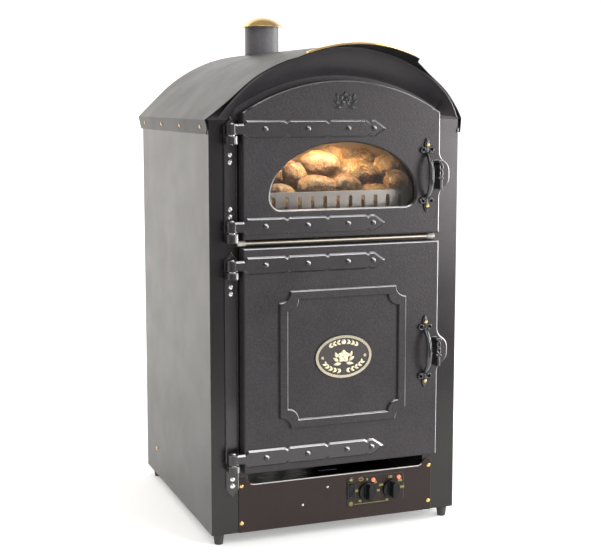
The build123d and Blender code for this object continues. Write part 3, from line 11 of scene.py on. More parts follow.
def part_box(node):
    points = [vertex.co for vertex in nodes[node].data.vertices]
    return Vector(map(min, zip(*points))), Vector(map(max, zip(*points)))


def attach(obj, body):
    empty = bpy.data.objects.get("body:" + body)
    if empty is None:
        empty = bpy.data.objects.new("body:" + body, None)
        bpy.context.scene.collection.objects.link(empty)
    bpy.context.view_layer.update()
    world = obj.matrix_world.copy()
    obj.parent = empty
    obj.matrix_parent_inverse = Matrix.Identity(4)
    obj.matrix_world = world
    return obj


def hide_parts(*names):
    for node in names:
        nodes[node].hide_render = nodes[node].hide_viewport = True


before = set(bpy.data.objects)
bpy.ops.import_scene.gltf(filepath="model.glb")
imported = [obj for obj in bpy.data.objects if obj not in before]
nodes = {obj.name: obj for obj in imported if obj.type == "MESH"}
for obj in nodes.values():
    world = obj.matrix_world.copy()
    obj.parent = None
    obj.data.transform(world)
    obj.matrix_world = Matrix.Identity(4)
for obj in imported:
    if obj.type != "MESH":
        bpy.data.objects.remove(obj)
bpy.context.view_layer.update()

# ---- camera --------------------------------------------------------------------------------
# A long lens a little left of the oven and level with its window, turned slightly down, so
# that the left side is seen at a slant.
camera_place = Vector((-0.8753, -2.3243, 0.8199))
camera_turn = math.radians(-20.64)
camera_dip = math.radians(7.10)

camera = bpy.data.objects.new("camera", bpy.data.cameras.new("camera"))
camera.location = camera_place
camera.rotation_euler = (math.pi / 2 - camera_dip, 0, camera_turn)
camera.data.sensor_width = 36
camera.data.lens = 74.5
camera.data.shift_y = -0.0418
bpy.context.scene.collection.objects.link(camera)
bpy.context.scene.camera = camera

# ---- studio --------------------------------------------------------------------------------
# A pale floor that curves up into a pale backdrop, an even sky and soft lamps: high at the right
# front, over the top, low at the right front, near the camera, at the right and on the backdrop.
studio_colour = (0.86, 0.86, 0.85, 1)
backdrop_back = 3.2
backdrop_bend = 1.2
backdrop_half = 7.0
backdrop_front = -1.2
backdrop_top = 5.0

profile = [(backdrop_front, 0.0)]
for step in range(13):
    turn = math.radians(90 * step / 12)
    profile.append((backdrop_back - backdrop_bend * (1 - math.sin(turn)),
                    backdrop_bend * (1 - math.cos(turn))))
profile.append((backdrop_back, backdrop_top))
floor_mesh = bpy.data.meshes.new("studio_floor")
floor_points = [(x, y, z) for y, z in profile for x in (-backdrop_half, backdrop_half)]
floor_faces = [(i, i + 1, i + 3, i + 2) for i in range(0, len(floor_points) - 2, 2)]
floor_mesh.from_pydata(floor_points, [], floor_faces)
for face in floor_mesh.polygons:
    face.use_smooth = True
floor = bpy.data.objects.new("studio_floor", floor_mesh)
bpy.context.scene.collection.objects.link(floor)

floor_paint = bpy.data.materials.new("studio_paper")
floor_paint.use_nodes = True
tree = floor_paint.node_tree
paper = tree.nodes["Principled BSDF"]
paper.inputs["Base Color"].default_value = studio_colour
paper.inputs["Roughness"].default_value = 0.9
ray = tree.nodes.new("ShaderNodeLightPath")
paper_glow = tree.nodes.new("ShaderNodeEmission")
paper_glow.inputs["Strength"].default_value = 0.3
glowing_paper = tree.nodes.new("ShaderNodeAddShader")
paper_choice = tree.nodes.new("ShaderNodeMixShader")
shown = tree.nodes.new("ShaderNodeMath")
shown.operation = "ADD"
mirrored = tree.nodes.new("ShaderNodeMath")
mirrored.operation = "ADD"
mirrored.use_clamp = True
tree.links.new(ray.outputs["Is Camera Ray"], shown.inputs[0])
tree.links.new(ray.outputs["Is Glossy Ray"], shown.inputs[1])
tree.links.new(shown.outputs[0], mirrored.inputs[0])
tree.links.new(ray.outputs["Is Transmission Ray"], mirrored.inputs[1])
tree.links.new(paper.outputs[0], glowing_paper.inputs[0])
tree.links.new(paper_glow.outputs[0], glowing_paper.inputs[1])
tree.links.new(mirrored.outputs[0], paper_choice.inputs[0])
tree.links.new(paper.outputs[0], paper_choice.inputs[1])
tree.links.new(glowing_paper.outputs[0], paper_choice.inputs[2])
tree.links.new(paper_choice.outputs[0], tree.nodes["Material Output"].inputs["Surface"])
floor_mesh.materials.append(floor_paint)

sky = bpy.data.worlds.new("studio_sky")
sky.use_nodes = True
sky.node_tree.nodes["Background"].inputs["Color"].default_value = (1, 1, 1, 1)
sky.node_tree.nodes["Background"].inputs["Strength"].default_value = 0.45
bpy.context.scene.world = sky

white = (1.0, 1.0, 1.0)
warm_white = (1.0, 0.95, 0.90)
for lamp_name, place, aim, size, power, colour in (
    ("key_softbox", (1.8, -2.8, 2.6), (0.0, 0.0, 0.5), 1.6, 60.0, white),
    ("top_softbox", (-0.2, -1.0, 3.0), (0.0, 0.0, 0.6), 1.6, 24.0, white),
    ("front_softbox", (1.56, -2.1, 0.65), (0.1, -0.2, 0.5), 0.8, 19.0, white),
    ("near_softbox", (-1.25, -2.3, 1.1), (-0.1, -0.2, 0.6), 0.45, 3.0, white),
    ("side_softbox", (2.2, 0.1, 0.8), (0.0, -0.1, 0.5), 1.2, 45.0, white),
    ("backdrop_wash", (-2.4, 1.6, 3.2), (-1.6, 3.1, 2.3), 1.4, 125.0, warm_white),
):
    softbox = bpy.data.objects.new(lamp_name, bpy.data.lights.new(lamp_name, "AREA"))
    softbox.data.size = size
    softbox.data.energy = power
    softbox.data.color = colour
    softbox.location = place
    softbox.rotation_euler = (Vector(aim) - Vector(place)).to_track_quat("-Z", "Y").to_euler()
    bpy.context.scene.collection.objects.link(softbox)

bpy.context.scene.view_settings.view_transform = "Standard"

# ---- cabinet sheets ------------------------------------------------------------------------
# Folded steel sheets under satin black stove enamel, with four rubber feet: the sides, the back,
# the front frame, the coved gable, the arched roof, the base and the flue. The enamel is faintly
# rippled and wears thin on the edges, shown only where they face up and right, as wear and
# painted highlight.
cabinet_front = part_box("front_frame")[0].y


def skin_group():
    """Node group of a painted or cast skin: mottled colour, worn edges with painted highlight and
    shade, and a fine grain.
    """
    group = bpy.data.node_groups.new("metal_skin", "ShaderNodeTree")
    for name, kind, start in (
        ("Colour", "NodeSocketColor", (0.02, 0.02, 0.02, 1)),
        ("Edge Colour", "NodeSocketColor", (0.1, 0.1, 0.1, 1)),
        ("Edge Wear", "NodeSocketFloat", 0.3),
        ("Edge Radius", "NodeSocketFloat", 0.0014),
        ("Rim", "NodeSocketFloat", 0.0),
        ("Mottle", "NodeSocketFloat", 0.2),
        ("Speckle", "NodeSocketFloat", 0.0),
        ("Grain Scale", "NodeSocketFloat", 900.0),
        ("Grain Height", "NodeSocketFloat", 0.1),
        ("Roughness", "NodeSocketFloat", 0.35),
    ):
        socket = group.interface.new_socket(name, in_out="INPUT", socket_type=kind)
        socket.default_value = start
    for name, kind in (("Colour", "NodeSocketColor"), ("Wear And Highlight", "NodeSocketFloat"),
                       ("Roughness", "NodeSocketFloat"), ("Normal", "NodeSocketVector")):
        group.interface.new_socket(name, in_out="OUTPUT", socket_type=kind)
    made = group.nodes
    join = group.links.new
    given = made.new("NodeGroupInput").outputs
    result = made.new("NodeGroupOutput").inputs

    def maths(operation, *terms, clamp=False):
        """Maths on sockets and plain numbers, in the node's own order; gives the output."""
        node = made.new("ShaderNodeMath")
        node.operation = operation
        node.use_clamp = clamp
        for slot, term in zip(node.inputs, terms):
            if isinstance(term, float):
                slot.default_value = term
            else:
                join(term, slot)
        return node.outputs[0]

    def ramp(value, low, high, kind="SMOOTHSTEP"):
        """0 where value is at low, 1 where it is at high; gives the output."""
        node = made.new("ShaderNodeMapRange")
        node.interpolation_type = kind
        node.inputs["From Min"].default_value = low
        node.inputs["From Max"].default_value = high
        join(value, node.inputs["Value"])
        return node.outputs["Result"]

    # Slow clouds and fine grain, both fixed to the piece.
    where = made.new("ShaderNodeTexCoord").outputs
    cloud = made.new("ShaderNodeTexNoise")
    cloud.inputs["Scale"].default_value = 14
    cloud.inputs["Detail"].default_value = 6
    join(where["Object"], cloud.inputs["Vector"])
    grain = made.new("ShaderNodeTexNoise")
    grain.inputs["Detail"].default_value = 3
    join(where["Object"], grain.inputs["Vector"])
    join(given["Grain Scale"], grain.inputs["Scale"])

    # Worn: where a rounded normal leaves the face's own, in patches.
    rounded = made.new("ShaderNodeBevel")
    rounded.samples = 4
    join(given["Edge Radius"], rounded.inputs["Radius"])
    flat = made.new("ShaderNodeNewGeometry")
    same = made.new("ShaderNodeVectorMath")
    same.operation = "DOT_PRODUCT"
    join(rounded.outputs["Normal"], same.inputs[0])
    join(flat.outputs["Normal"], same.inputs[1])
    edge = ramp(same.outputs["Value"], 0.995, 0.85, "LINEAR")
    patchy = maths("MULTIPLY", edge, cloud.outputs["Fac"])
    worn = maths("MULTIPLY", patchy, given["Edge Wear"])

    # Lamp-facing: edges that look up and to the right, toward the lamps; worn and rim edges
    # get a painted highlight only there.
    turned = made.new("ShaderNodeVectorTransform")
    turned.vector_type = "NORMAL"
    turned.convert_from = "WORLD"
    turned.convert_to = "OBJECT"
    join(rounded.outputs["Normal"], turned.inputs[0])
    upward = made.new("ShaderNodeVectorMath")
    upward.operation = "DOT_PRODUCT"
    upward.inputs[1].default_value = (1, 0, 1)
    join(turned.outputs[0], upward.inputs[0])
    lamp_facing = ramp(upward.outputs["Value"], 0.05, 0.45)

    # Rim: slopes between the front face and the square edge behind it. Those facing the lamps get
    # painted highlight, and those facing away get painted shade.
    facing = made.new("ShaderNodeSeparateXYZ")
    join(where["Normal"], facing.inputs[0])
    leaning = ramp(facing.outputs["Y"], -0.985, -0.86)
    square = ramp(facing.outputs["Y"], -0.06, -0.30)
    rimmed = maths("MULTIPLY", maths("MULTIPLY", leaning, square), given["Rim"])
    wear_and_highlight = maths("MULTIPLY", maths("ADD", rimmed, worn), lamp_facing, clamp=True)
    painted_edge_shade = maths("MULTIPLY", rimmed, maths("SUBTRACT", 1.0, lamp_facing))
    join(wear_and_highlight, result["Wear And Highlight"])

    cloudy = maths("SUBTRACT", cloud.outputs["Fac"], 0.5)
    swing = maths("MULTIPLY_ADD", cloudy, given["Mottle"], 1.0)
    fleck = maths("SUBTRACT", grain.outputs["Fac"], 0.5)
    flecked = maths("MULTIPLY_ADD", fleck, given["Speckle"], swing)
    # Painted shade: rim slopes facing away from the lamps darken the colour.
    tone_with_shade = maths("MULTIPLY", flecked, maths("MULTIPLY_ADD", painted_edge_shade, -0.8, 1.0))
    shade = made.new("ShaderNodeVectorMath")
    shade.operation = "SCALE"
    join(given["Colour"], shade.inputs[0])
    join(tone_with_shade, shade.inputs["Scale"])
    edged = made.new("ShaderNodeMix")
    edged.data_type = "RGBA"
    join(wear_and_highlight, edged.inputs["Factor"])
    join(shade.outputs[0], edged.inputs["A"])
    join(given["Edge Colour"], edged.inputs["B"])
    join(edged.outputs["Result"], result["Colour"])
    join(maths("MULTIPLY", given["Roughness"], swing), result["Roughness"])

    bump = made.new("ShaderNodeBump")
    bump.inputs["Distance"].default_value = 0.001
    join(given["Grain Height"], bump.inputs["Strength"])
    join(grain.outputs["Fac"], bump.inputs["Height"])
    join(rounded.outputs["Normal"], bump.inputs["Normal"])
    join(bump.outputs["Normal"], result["Normal"])
    return group


metal_skin = skin_group()


def skinned(name, colour, edge, metallic=0.0, coat=0.0, specular=0.5, tint=white, **values):
    """Material on the metal skin group, whose paint wears to metal, with painted edge highlight;
    `tint` colours its shine.
    """
    material = bpy.data.materials.new(name)
    material.use_nodes = True
    links = material.node_tree.links
    surface = material.node_tree.nodes["Principled BSDF"]
    skin = material.node_tree.nodes.new("ShaderNodeGroup")
    skin.node_tree = metal_skin
    skin.inputs["Colour"].default_value = (*colour, 1)
    skin.inputs["Edge Colour"].default_value = (*edge, 1)
    for key, value in values.items():
        skin.inputs[key.replace("_", " ").title()].default_value = value
    links.new(skin.outputs["Colour"], surface.inputs["Base Color"])
    links.new(skin.outputs["Roughness"], surface.inputs["Roughness"])
    links.new(skin.outputs["Normal"], surface.inputs["Normal"])
    if metallic:
        surface.inputs["Metallic"].default_value = metallic
    else:
        links.new(skin.outputs["Wear And Highlight"], surface.inputs["Metallic"])
    surface.inputs["Specular IOR Level"].default_value = specular
    surface.inputs["Specular Tint"].default_value = (*tint, 1)
    surface.inputs["Coat Weight"].default_value = coat
    surface.inputs["Coat Roughness"].default_value = 0.08
    return material


def finish(material, *names):
    """Gives carried-over CAD nodes their finish."""
    for name in names:
        nodes[name].data.materials.clear()
        nodes[name].data.materials.append(material)


warm_shine = (1.0, 0.95, 0.90)
black_shine = (1.0, 0.93, 0.95)
stove_enamel = skinned("stove_enamel", (0.018, 0.016, 0.015), (0.30, 0.29, 0.28), specular=0.6,
                       tint=warm_shine, roughness=0.33, mottle=0.5, grain_scale=420.0,
                       grain_height=0.22, edge_wear=0.5, speckle=1.0)
finish(stove_enamel, "side_panel_left", "side_panel_right", "base_panel", "back_panel")
front_enamel = skinned("front_enamel", (0.010, 0.009, 0.009), (0.30, 0.29, 0.28), specular=0.55,
                       tint=black_shine, roughness=0.25, mottle=0.5, grain_scale=420.0,
                       grain_height=0.22, edge_wear=0.8, speckle=1.5)
finish(front_enamel, "front_frame")
roof_enamel = skinned("roof_enamel", (0.013, 0.012, 0.012), (0.30, 0.29, 0.28), specular=0.14,
                      tint=warm_shine, roughness=0.34, mottle=0.5, grain_scale=420.0,
                      grain_height=0.22, edge_wear=0.8, speckle=1.0)
finish(roof_enamel, "roof_shell")
flue_enamel = skinned("flue_enamel", (0.12, 0.115, 0.12), (0.30, 0.30, 0.30), specular=0.4,
                      roughness=0.46, mottle=0.5, grain_scale=500.0, grain_height=0.1,
                      edge_wear=0.6, speckle=1.2)
finish(flue_enamel, "chimney_tube")
# The gable is painted lighter than the other black sheets: painted light where the hood shades it.
gable_painted_light = skinned("gable_painted_light", (0.056, 0.052, 0.056), (0.30, 0.30, 0.30), specular=0.5,
                       tint=black_shine, roughness=0.42, mottle=0.5, grain_scale=500.0,
                       grain_height=0.1, speckle=1.2)
finish(gable_painted_light, "gable_panel")
foot_rubber = skinned("foot_rubber", (0.045, 0.042, 0.040), (0.08, 0.08, 0.08), roughness=0.6,
                      mottle=0.5, grain_scale=900.0, grain_height=0.15)
finish(foot_rubber, "cabinet_feet")

# ---- brass fittings ------------------------------------------------------------------------
# Polished brass: the trim round the hood's lip, the flue's cap and the dome screws. The bar
# between the doors is a paler drawn brass with a cream ferrule pressed on each end.
polished_brass = skinned("polished_brass", (0.80, 0.52, 0.20), (0.92, 0.72, 0.40), metallic=1.0,
                         roughness=0.20, mottle=0.5, grain_scale=700.0, grain_height=0.02,
                         edge_wear=0.5)
finish(polished_brass, "roof_trim", "chimney_cap", "roof_rivets", "brass_screws",
       "upper_pull_screws", "lower_pull_screws")
bar_middle = -0.002
bar_half = 0.182  # without its ferrules
pale_brass = skinned("pale_brass", (0.80, 0.70, 0.58), (0.9, 0.82, 0.66), metallic=1.0,
                     roughness=0.46, mottle=0.4, grain_scale=600.0, grain_height=0.02)
tree = pale_brass.node_tree
bar_surface = tree.nodes["Principled BSDF"]
bar_spot = tree.nodes.new("ShaderNodeTexCoord")
bar_split = tree.nodes.new("ShaderNodeSeparateXYZ")
bar_away = tree.nodes.new("ShaderNodeMath")
bar_away.operation = "SUBTRACT"
bar_away.inputs[1].default_value = bar_middle
bar_side = tree.nodes.new("ShaderNodeMath")
bar_side.operation = "ABSOLUTE"
ferrule = tree.nodes.new("ShaderNodeMath")
ferrule.operation = "LESS_THAN"
ferrule.inputs[1].default_value = bar_half
bar_tone = tree.nodes.new("ShaderNodeMix")
bar_tone.data_type = "RGBA"
bar_tone.inputs["A"].default_value = (0.78, 0.75, 0.68, 1)
brass_colour = bar_surface.inputs["Base Color"].links[0].from_socket
tree.links.new(bar_spot.outputs["Object"], bar_split.inputs[0])
tree.links.new(bar_split.outputs["X"], bar_away.inputs[0])
tree.links.new(bar_away.outputs[0], bar_side.inputs[0])
tree.links.new(bar_side.outputs[0], ferrule.inputs[0])
tree.links.new(ferrule.outputs[0], bar_tone.inputs["Factor"])
tree.links.new(brass_colour, bar_tone.inputs["B"])
tree.links.new(bar_tone.outputs["Result"], bar_surface.inputs["Base Color"])
tree.links.new(ferrule.outputs[0], bar_surface.inputs["Metallic"])
finish(pale_brass, "divider_bar")

# ---- door castings -------------------------------------------------------------------------
# Cast-iron doors with a fine sand-cast speckle under satin black stove paint; their rounded
# edges and raised moulding catch the light, helped by painted highlight on the edges that face
# up and right and painted shade on the edge slopes that face away.
cast_iron = skinned("cast_iron", (0.032, 0.029, 0.032), (0.80, 0.79, 0.80), specular=0.42,
                    tint=black_shine, roughness=0.38, mottle=0.6, grain_scale=330.0,
                    grain_height=0.34, edge_wear=1.6, rim=0.68, speckle=1.5, edge_radius=0.0019)
finish(cast_iron, "upper_door", "lower_door")

# ---- flower on the upper door --------------------------------------------------------------
# A potato flower between two fans of leaves, under the door's arch. It is cast in one with the
# door, in low relief, and its black paint has a little more gloss.
door_front = cabinet_front - 0.028
flower_place = (0.0035, 0.8215)
flower_reach = 0.024


def leaf(mesh, root, tip, width, height, ground):
    """Adds a low domed leaf with a sunk midrib, from root to tip (x, z), standing on y = ground."""
    root, tip = Vector(root), Vector(tip)
    along = tip - root
    across = Vector((-along.y, along.x)).normalized()
    steps = 8
    sides = (-1.0, -0.6, -0.15, 0.0, 0.15, 0.6, 1.0)
    rows = []
    for step in range(steps + 1):
        way = step / steps
        half = 0.5 * width * (math.sin(math.pi * way**0.85) * 0.96 + 0.04)
        row = []
        for side in sides:
            point = root + along * way + across * half * side
            dome = (1 - side * side) * (0.35 + 0.65 * math.sin(math.pi * way))
            if side == 0.0:
                dome *= 0.72
            row.append(mesh.verts.new((point.x, ground - height * dome + 0.0002, point.y)))
        rows.append(row)
    for low, high in zip(rows, rows[1:]):
        for i in range(len(sides) - 1):
            mesh.faces.new((low[i], low[i + 1], high[i + 1], high[i]))


def boss(mesh, centre, radius, height, ground):
    """Adds a small dome at centre (x, z) on y = ground."""
    around = 16
    rings = 4
    top = mesh.verts.new((centre[0], ground - height, centre[1]))
    last = None
    for ring in range(1, rings + 1):
        lean = math.pi / 2 * ring / rings
        circle = [
            mesh.verts.new((centre[0] + radius * math.sin(lean) * math.cos(math.tau * i / around),
                            ground - height * math.cos(lean) + 0.0002 * ring / rings,
                            centre[1] + radius * math.sin(lean) * math.sin(math.tau * i / around)))
            for i in range(around)
        ]
        for i in range(around):
            j = (i + 1) % around
            if last is None:
                mesh.faces.new((top, circle[j], circle[i]))
            else:
                mesh.faces.new((last[i], last[j], circle[j], circle[i]))
        last = circle


def flower(mesh, centre, reach, height, ground):
    """Adds a five-petalled flower between two fans of leaves, about twice `reach` wide."""
    cx, cz = centre
    for petal in range(5):
        turn = math.radians(90 + 72 * petal)
        across, up = math.cos(turn), math.sin(turn)
        leaf(mesh, (cx + 0.10 * reach * across, cz + 0.10 * reach * up),
             (cx + 0.58 * reach * across, cz + 0.58 * reach * up), 0.50 * reach, height, ground)
    boss(mesh, centre, 0.17 * reach, height * 1.35, ground)
    for side in (-1, 1):
        for away, low, length, lean in ((0.22, -0.60, 0.72, -4), (0.46, -0.40, 0.62, 34),
                                        (0.58, -0.08, 0.56, 70)):
            turn = math.radians(lean)
            leaf(mesh, (cx + side * away * reach, cz + low * reach),
                 (cx + side * (away + length * math.cos(turn)) * reach,
                  cz + (low + length * math.sin(turn)) * reach), 0.30 * reach, height, ground)


def moulded(name, shape, material, body):
    """Makes a smooth shaded piece from a bmesh, riding on one body."""
    bmesh.ops.recalc_face_normals(shape, faces=shape.faces)
    made = bpy.data.meshes.new(name)
    shape.to_mesh(made)
    shape.free()
    for face in made.polygons:
        face.use_smooth = True
    made.materials.append(material)
    piece = bpy.data.objects.new(name, made)
    bpy.context.scene.collection.objects.link(piece)
    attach(piece, body)


flower_iron = skinned("flower_iron", (0.045, 0.043, 0.045), (0.5, 0.5, 0.5), specular=0.5,
                      roughness=0.30, mottle=0.5, grain_scale=500.0, grain_height=0.1, coat=0.3)
relief = bmesh.new()
flower(relief, flower_place, flower_reach, 0.0038, door_front)
moulded("cast_flower", relief, flower_iron, "upper_door")

# ---- hinges and straps ---------------------------------------------------------------------
# Forged-look cast straps riveted to the doors, rails screwed to the cabinet, steel pins, all
# glossier black than the doors. The straps, rivets and rails have painted highlight on edges
# facing up and right and painted shade on edge slopes facing away.
black_iron = skinned("black_iron", (0.020, 0.019, 0.020), (0.80, 0.79, 0.80), specular=0.5,
                     tint=black_shine, roughness=0.30, mottle=0.6, grain_scale=420.0,
                     grain_height=0.20, edge_wear=1.2, rim=0.8, coat=0.6, speckle=1.6,
                     edge_radius=0.0016)
finish(black_iron, "upper_door_straps", "lower_door_straps", "upper_strap_rivets",
       "lower_strap_rivets", "hinge_rail_upper", "hinge_rail_lower")
bright_steel = skinned("bright_steel", (0.78, 0.77, 0.76), (0.9, 0.9, 0.9), metallic=1.0,
                       roughness=0.26, mottle=0.4, grain_scale=500.0, grain_height=0.02)
finish(bright_steel, "hinge_pins", "steel_screws", "timer_spindle", "thermostat_spindle")

# ---- door pulls ----------------------------------------------------------------------------
# Cast bows on ram's-horn ends, each with a leaf-shaped finial under its brass screw. The wax
# patterns' rods run into each other, so the rods here are melted into one skin.
pull_place = 0.168
pull_screw = 0.057  # from the pull's middle
bow_half = 0.041
bow_depth = 0.0195
bow_steps = 24
curl_steps = 26
pull_iron = skinned("pull_iron", (0.012, 0.011, 0.012), (0.40, 0.40, 0.40), specular=0.6,
                    roughness=0.26, mottle=0.4, grain_scale=900.0, grain_height=0.04, edge_wear=0.6,
                    coat=0.8)


def rod(mesh, points, sizes):
    """Adds a closed rod through points; `sizes` are half-widths, and half-depths off the face."""
    around = 14
    rings = []
    for i, point in enumerate(points):
        ahead = (points[min(i + 1, len(points) - 1)] - points[max(i - 1, 0)]).normalized()
        out = Vector((0, -1, 0)) if abs(ahead.y) < 0.9 else Vector((0, 0, 1))
        wide = ahead.cross(out).normalized()
        deep = wide.cross(ahead).normalized()
        half_width, half_depth = sizes[i]
        rings.append([
            mesh.verts.new(point + wide * half_width * math.cos(math.tau * k / around)
                           + deep * half_depth * math.sin(math.tau * k / around))
            for k in range(around)
        ])
    for low, high in zip(rings, rings[1:]):
        for k in range(around):
            beside = (k + 1) % around
            mesh.faces.new((low[k], low[beside], high[beside], high[k]))
    mesh.faces.new(list(reversed(rings[0])))
    mesh.faces.new(rings[-1])


def door_pull(name, node, body, height):
    """One pull, its rods melted into one casting that takes the plain node's place."""
    wax = bmesh.new()
    bow = []
    thick = []
    for step in range(bow_steps + 1):
        way = -1 + 2 * step / bow_steps
        bow.append(Vector((pull_place, door_front - 0.0042 - bow_depth * (1 - abs(way) ** 2.6),
                           height + way * bow_half)))
        thick.append((0.0044 + 0.0008 * (1 - way * way), 0.0040))
    rod(wax, bow, thick)
    for end in (-1, 1):
        screw = height + end * pull_screw
        rod(wax, [Vector((pull_place, door_front - 0.0026, screw - end * rise * 0.001))
                  for rise in (20, 16, 12, 8, 4, 0)],
            [(w * 0.001, 0.0026) for w in (3.6, 4.2, 4.4, 4.2, 5.0, 5.2)])
        rod(wax, [Vector((pull_place, door_front - 0.0022, screw + end * rise * 0.001))
                  for rise in (-4, 0, 3, 6, 9, 11.5, 12.8)],
            [(w * 0.001, d * 0.001) for w, d in
             ((4.6, 2.6), (5.4, 2.9), (5.0, 2.9), (4.2, 2.7), (2.9, 2.4), (1.5, 1.7), (0.5, 0.8))])
        for side in (-1, 1):
            curl = []
            fat = []
            for step in range(curl_steps + 1):
                turn = math.radians(-120 + 420 * step / curl_steps)
                reach = 0.0058 - 0.0032 * step / curl_steps
                curl.append(Vector((
                    pull_place + side * (0.0078 + reach * math.cos(turn)),
                    door_front - 0.0030,
                    screw - end * (0.0092 - reach * math.sin(turn)),
                )))
                fat.append((0.0016 - 0.0003 * step / curl_steps,
                            0.0030 - 0.0006 * step / curl_steps))
            rod(wax, curl, fat)
    bmesh.ops.recalc_face_normals(wax, faces=wax.faces)
    pattern = bpy.data.meshes.new(name + "_pattern")
    wax.to_mesh(pattern)
    wax.free()
    rods = bpy.data.objects.new(name + "_pattern", pattern)
    bpy.context.scene.collection.objects.link(rods)
    melt = rods.modifiers.new("melt", "REMESH")
    melt.mode = "VOXEL"
    melt.voxel_size = 0.00055
    ease = rods.modifiers.new("ease", "SMOOTH")
    ease.iterations = 3
    ease.factor = 0.5
    casting = bpy.data.meshes.new_from_object(
        rods.evaluated_get(bpy.context.evaluated_depsgraph_get()))
    bpy.data.objects.remove(rods)
    casting.name = name
    for face in casting.polygons:
        face.use_smooth = True
    casting.materials.append(pull_iron)
    pull = bpy.data.objects.new(name, casting)
    bpy.context.scene.collection.objects.link(pull)
    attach(pull, body)
    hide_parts(node)


door_pull("cast_pull_upper", "upper_door_pull", "upper_door", 0.680)
door_pull("cast_pull_lower", "lower_door_pull", "lower_door", 0.3445)

# ---- fascia and controls -------------------------------------------------------------------
# Brown-black enamelled sheet with a control plate, screwed on under the lower door. The knobs,
# rocker, housings, lamp holders and cable gland are black mouldings, and two neons glow red.
fascia_enamel = skinned("fascia_enamel", (0.023, 0.0122, 0.0098), (0.42, 0.32, 0.26), specular=0.34,
                        roughness=0.40, mottle=0.6, grain_scale=500.0, grain_height=0.12,
                        edge_wear=0.9, speckle=1.6)
finish(fascia_enamel, "fascia_panel", "control_plate")
moulded_plastic = skinned("moulded_plastic", (0.008, 0.008, 0.009), (0.30, 0.30, 0.31),
                          specular=0.3, roughness=0.24, mottle=0.2, grain_scale=1200.0,
                          grain_height=0.02, edge_wear=0.6)
finish(moulded_plastic, "timer_knob", "thermostat_knob", "switch_body", "switch_rocker",
       "cable_gland", "control_housings", "lamp_sockets")

neon_glass = bpy.data.materials.new("neon_red")
neon_glass.use_nodes = True
tree = neon_glass.node_tree
neon_surface = tree.nodes["Principled BSDF"]
neon_surface.inputs["Emission Strength"].default_value = 0.6
neon_surface.inputs["Roughness"].default_value = 0.2
neon_cells = tree.nodes.new("ShaderNodeTexVoronoi")
neon_cells.inputs["Scale"].default_value = 700
neon_tint = tree.nodes.new("ShaderNodeMix")
neon_tint.data_type = "RGBA"
neon_tint.inputs["A"].default_value = (0.85, 0.10, 0.05, 1)
neon_tint.inputs["B"].default_value = (1.0, 0.35, 0.20, 1)
tree.links.new(neon_cells.outputs["Distance"], neon_tint.inputs["Factor"])
tree.links.new(neon_tint.outputs["Result"], neon_surface.inputs["Base Color"])
tree.links.new(neon_tint.outputs["Result"], neon_surface.inputs["Emission Color"])
finish(neon_glass, "neon_lamps")

# ---- lip of the air slot -------------------------------------------------------------------
# The fascia's edge is rolled over along the long slot under the lower door; the pale bare-steel
# bead along it is a painted highlight on the lip.
lip_highlight_steel = skinned("lip_highlight_steel", (0.60, 0.57, 0.54), (0.8, 0.78, 0.75), metallic=1.0,
                    roughness=0.42, mottle=0.6, grain_scale=500.0, grain_height=0.03)
roll = bmesh.new()
lip_points = [
    Vector((x * 0.001, cabinet_front - 0.0022, z * 0.001))
    for x, z in ((-174.0, 113.8), (-171.2, 112.2), (-167.0, 111.3), (170.0, 111.3),
                 (174.2, 112.2), (178.0, 114.6))
]
rod(roll, lip_points, [(0.0012, 0.0010)] * len(lip_points))
moulded("slot_lip", roll, lip_highlight_steel, "cabinet")

# ---- dial marks ----------------------------------------------------------------------------
# Olive-yellow ink on the control plate: minutes round the timer's knob, degrees round the
# thermostat's, a lamp over the rocker, a potato beside it, and a plain ring and rule below.
plate_face = cabinet_front - 0.00305
timer_place = (62.5, 72.5)
thermostat_place = (113.0, 72.5)
dial_reach = 23.5
lamp_sign = (29.5, 98.0)
potato_sign = (49.5, 97.7)
plain_sign = (29.0, 50.8)
rule_height = 49.2
dial_ink = skinned("dial_ink", (0.50, 0.46, 0.13), (0.50, 0.46, 0.13), roughness=0.6, mottle=0.4,
                   grain_scale=900.0, grain_height=0.02)
potato_ink = skinned("potato_ink", (0.16, 0.055, 0.035), (0.16, 0.055, 0.035), roughness=0.6,
                     mottle=0.4, grain_scale=900.0, grain_height=0.02)


def figures(mesh, text, x, z):
    """Adds printed figures centred on (x, z) mm of the control plate."""
    line = bpy.data.curves.new("figures", "FONT")
    line.body = text
    line.size = 0.0060
    line.align_x = "CENTER"
    line.align_y = "CENTER"
    line.offset = 0.00015
    holder = bpy.data.objects.new("figures", line)
    bpy.context.scene.collection.objects.link(holder)
    drawn = bpy.data.meshes.new_from_object(
        holder.evaluated_get(bpy.context.evaluated_depsgraph_get()))
    bpy.data.objects.remove(holder)
    for vert in drawn.vertices:
        vert.co = Vector((x * 0.001 + vert.co.x, plate_face, z * 0.001 + vert.co.y))
    mesh.from_mesh(drawn)
    bpy.data.meshes.remove(drawn)


def ring(mesh, x, z, outer, inner, squash=1.0):
    """Adds a printed ring, or a filled oval where inner is 0, centred on (x, z) mm."""
    around = 36
    for i in range(around):
        corners = []
        for reach, turn in ((outer, i), (outer, i + 1), (inner, i + 1), (inner, i)):
            angle = math.tau * turn / around
            corners.append(mesh.verts.new((0.001 * (x + reach * math.cos(angle)), plate_face,
                                           0.001 * (z + reach * squash * math.sin(angle)))))
        mesh.faces.new(corners if inner else corners[:3])


def dash(mesh, start, end, width):
    """Adds a printed line from start to end, (x, z) mm."""
    start, end = Vector(start), Vector(end)
    along = (end - start).normalized() * 0.5
    across = Vector((-along.y, along.x)) * width
    mesh.faces.new([mesh.verts.new((0.001 * p.x, plate_face, 0.001 * p.y))
                    for p in (start - across, end - across, end + across, start + across)])


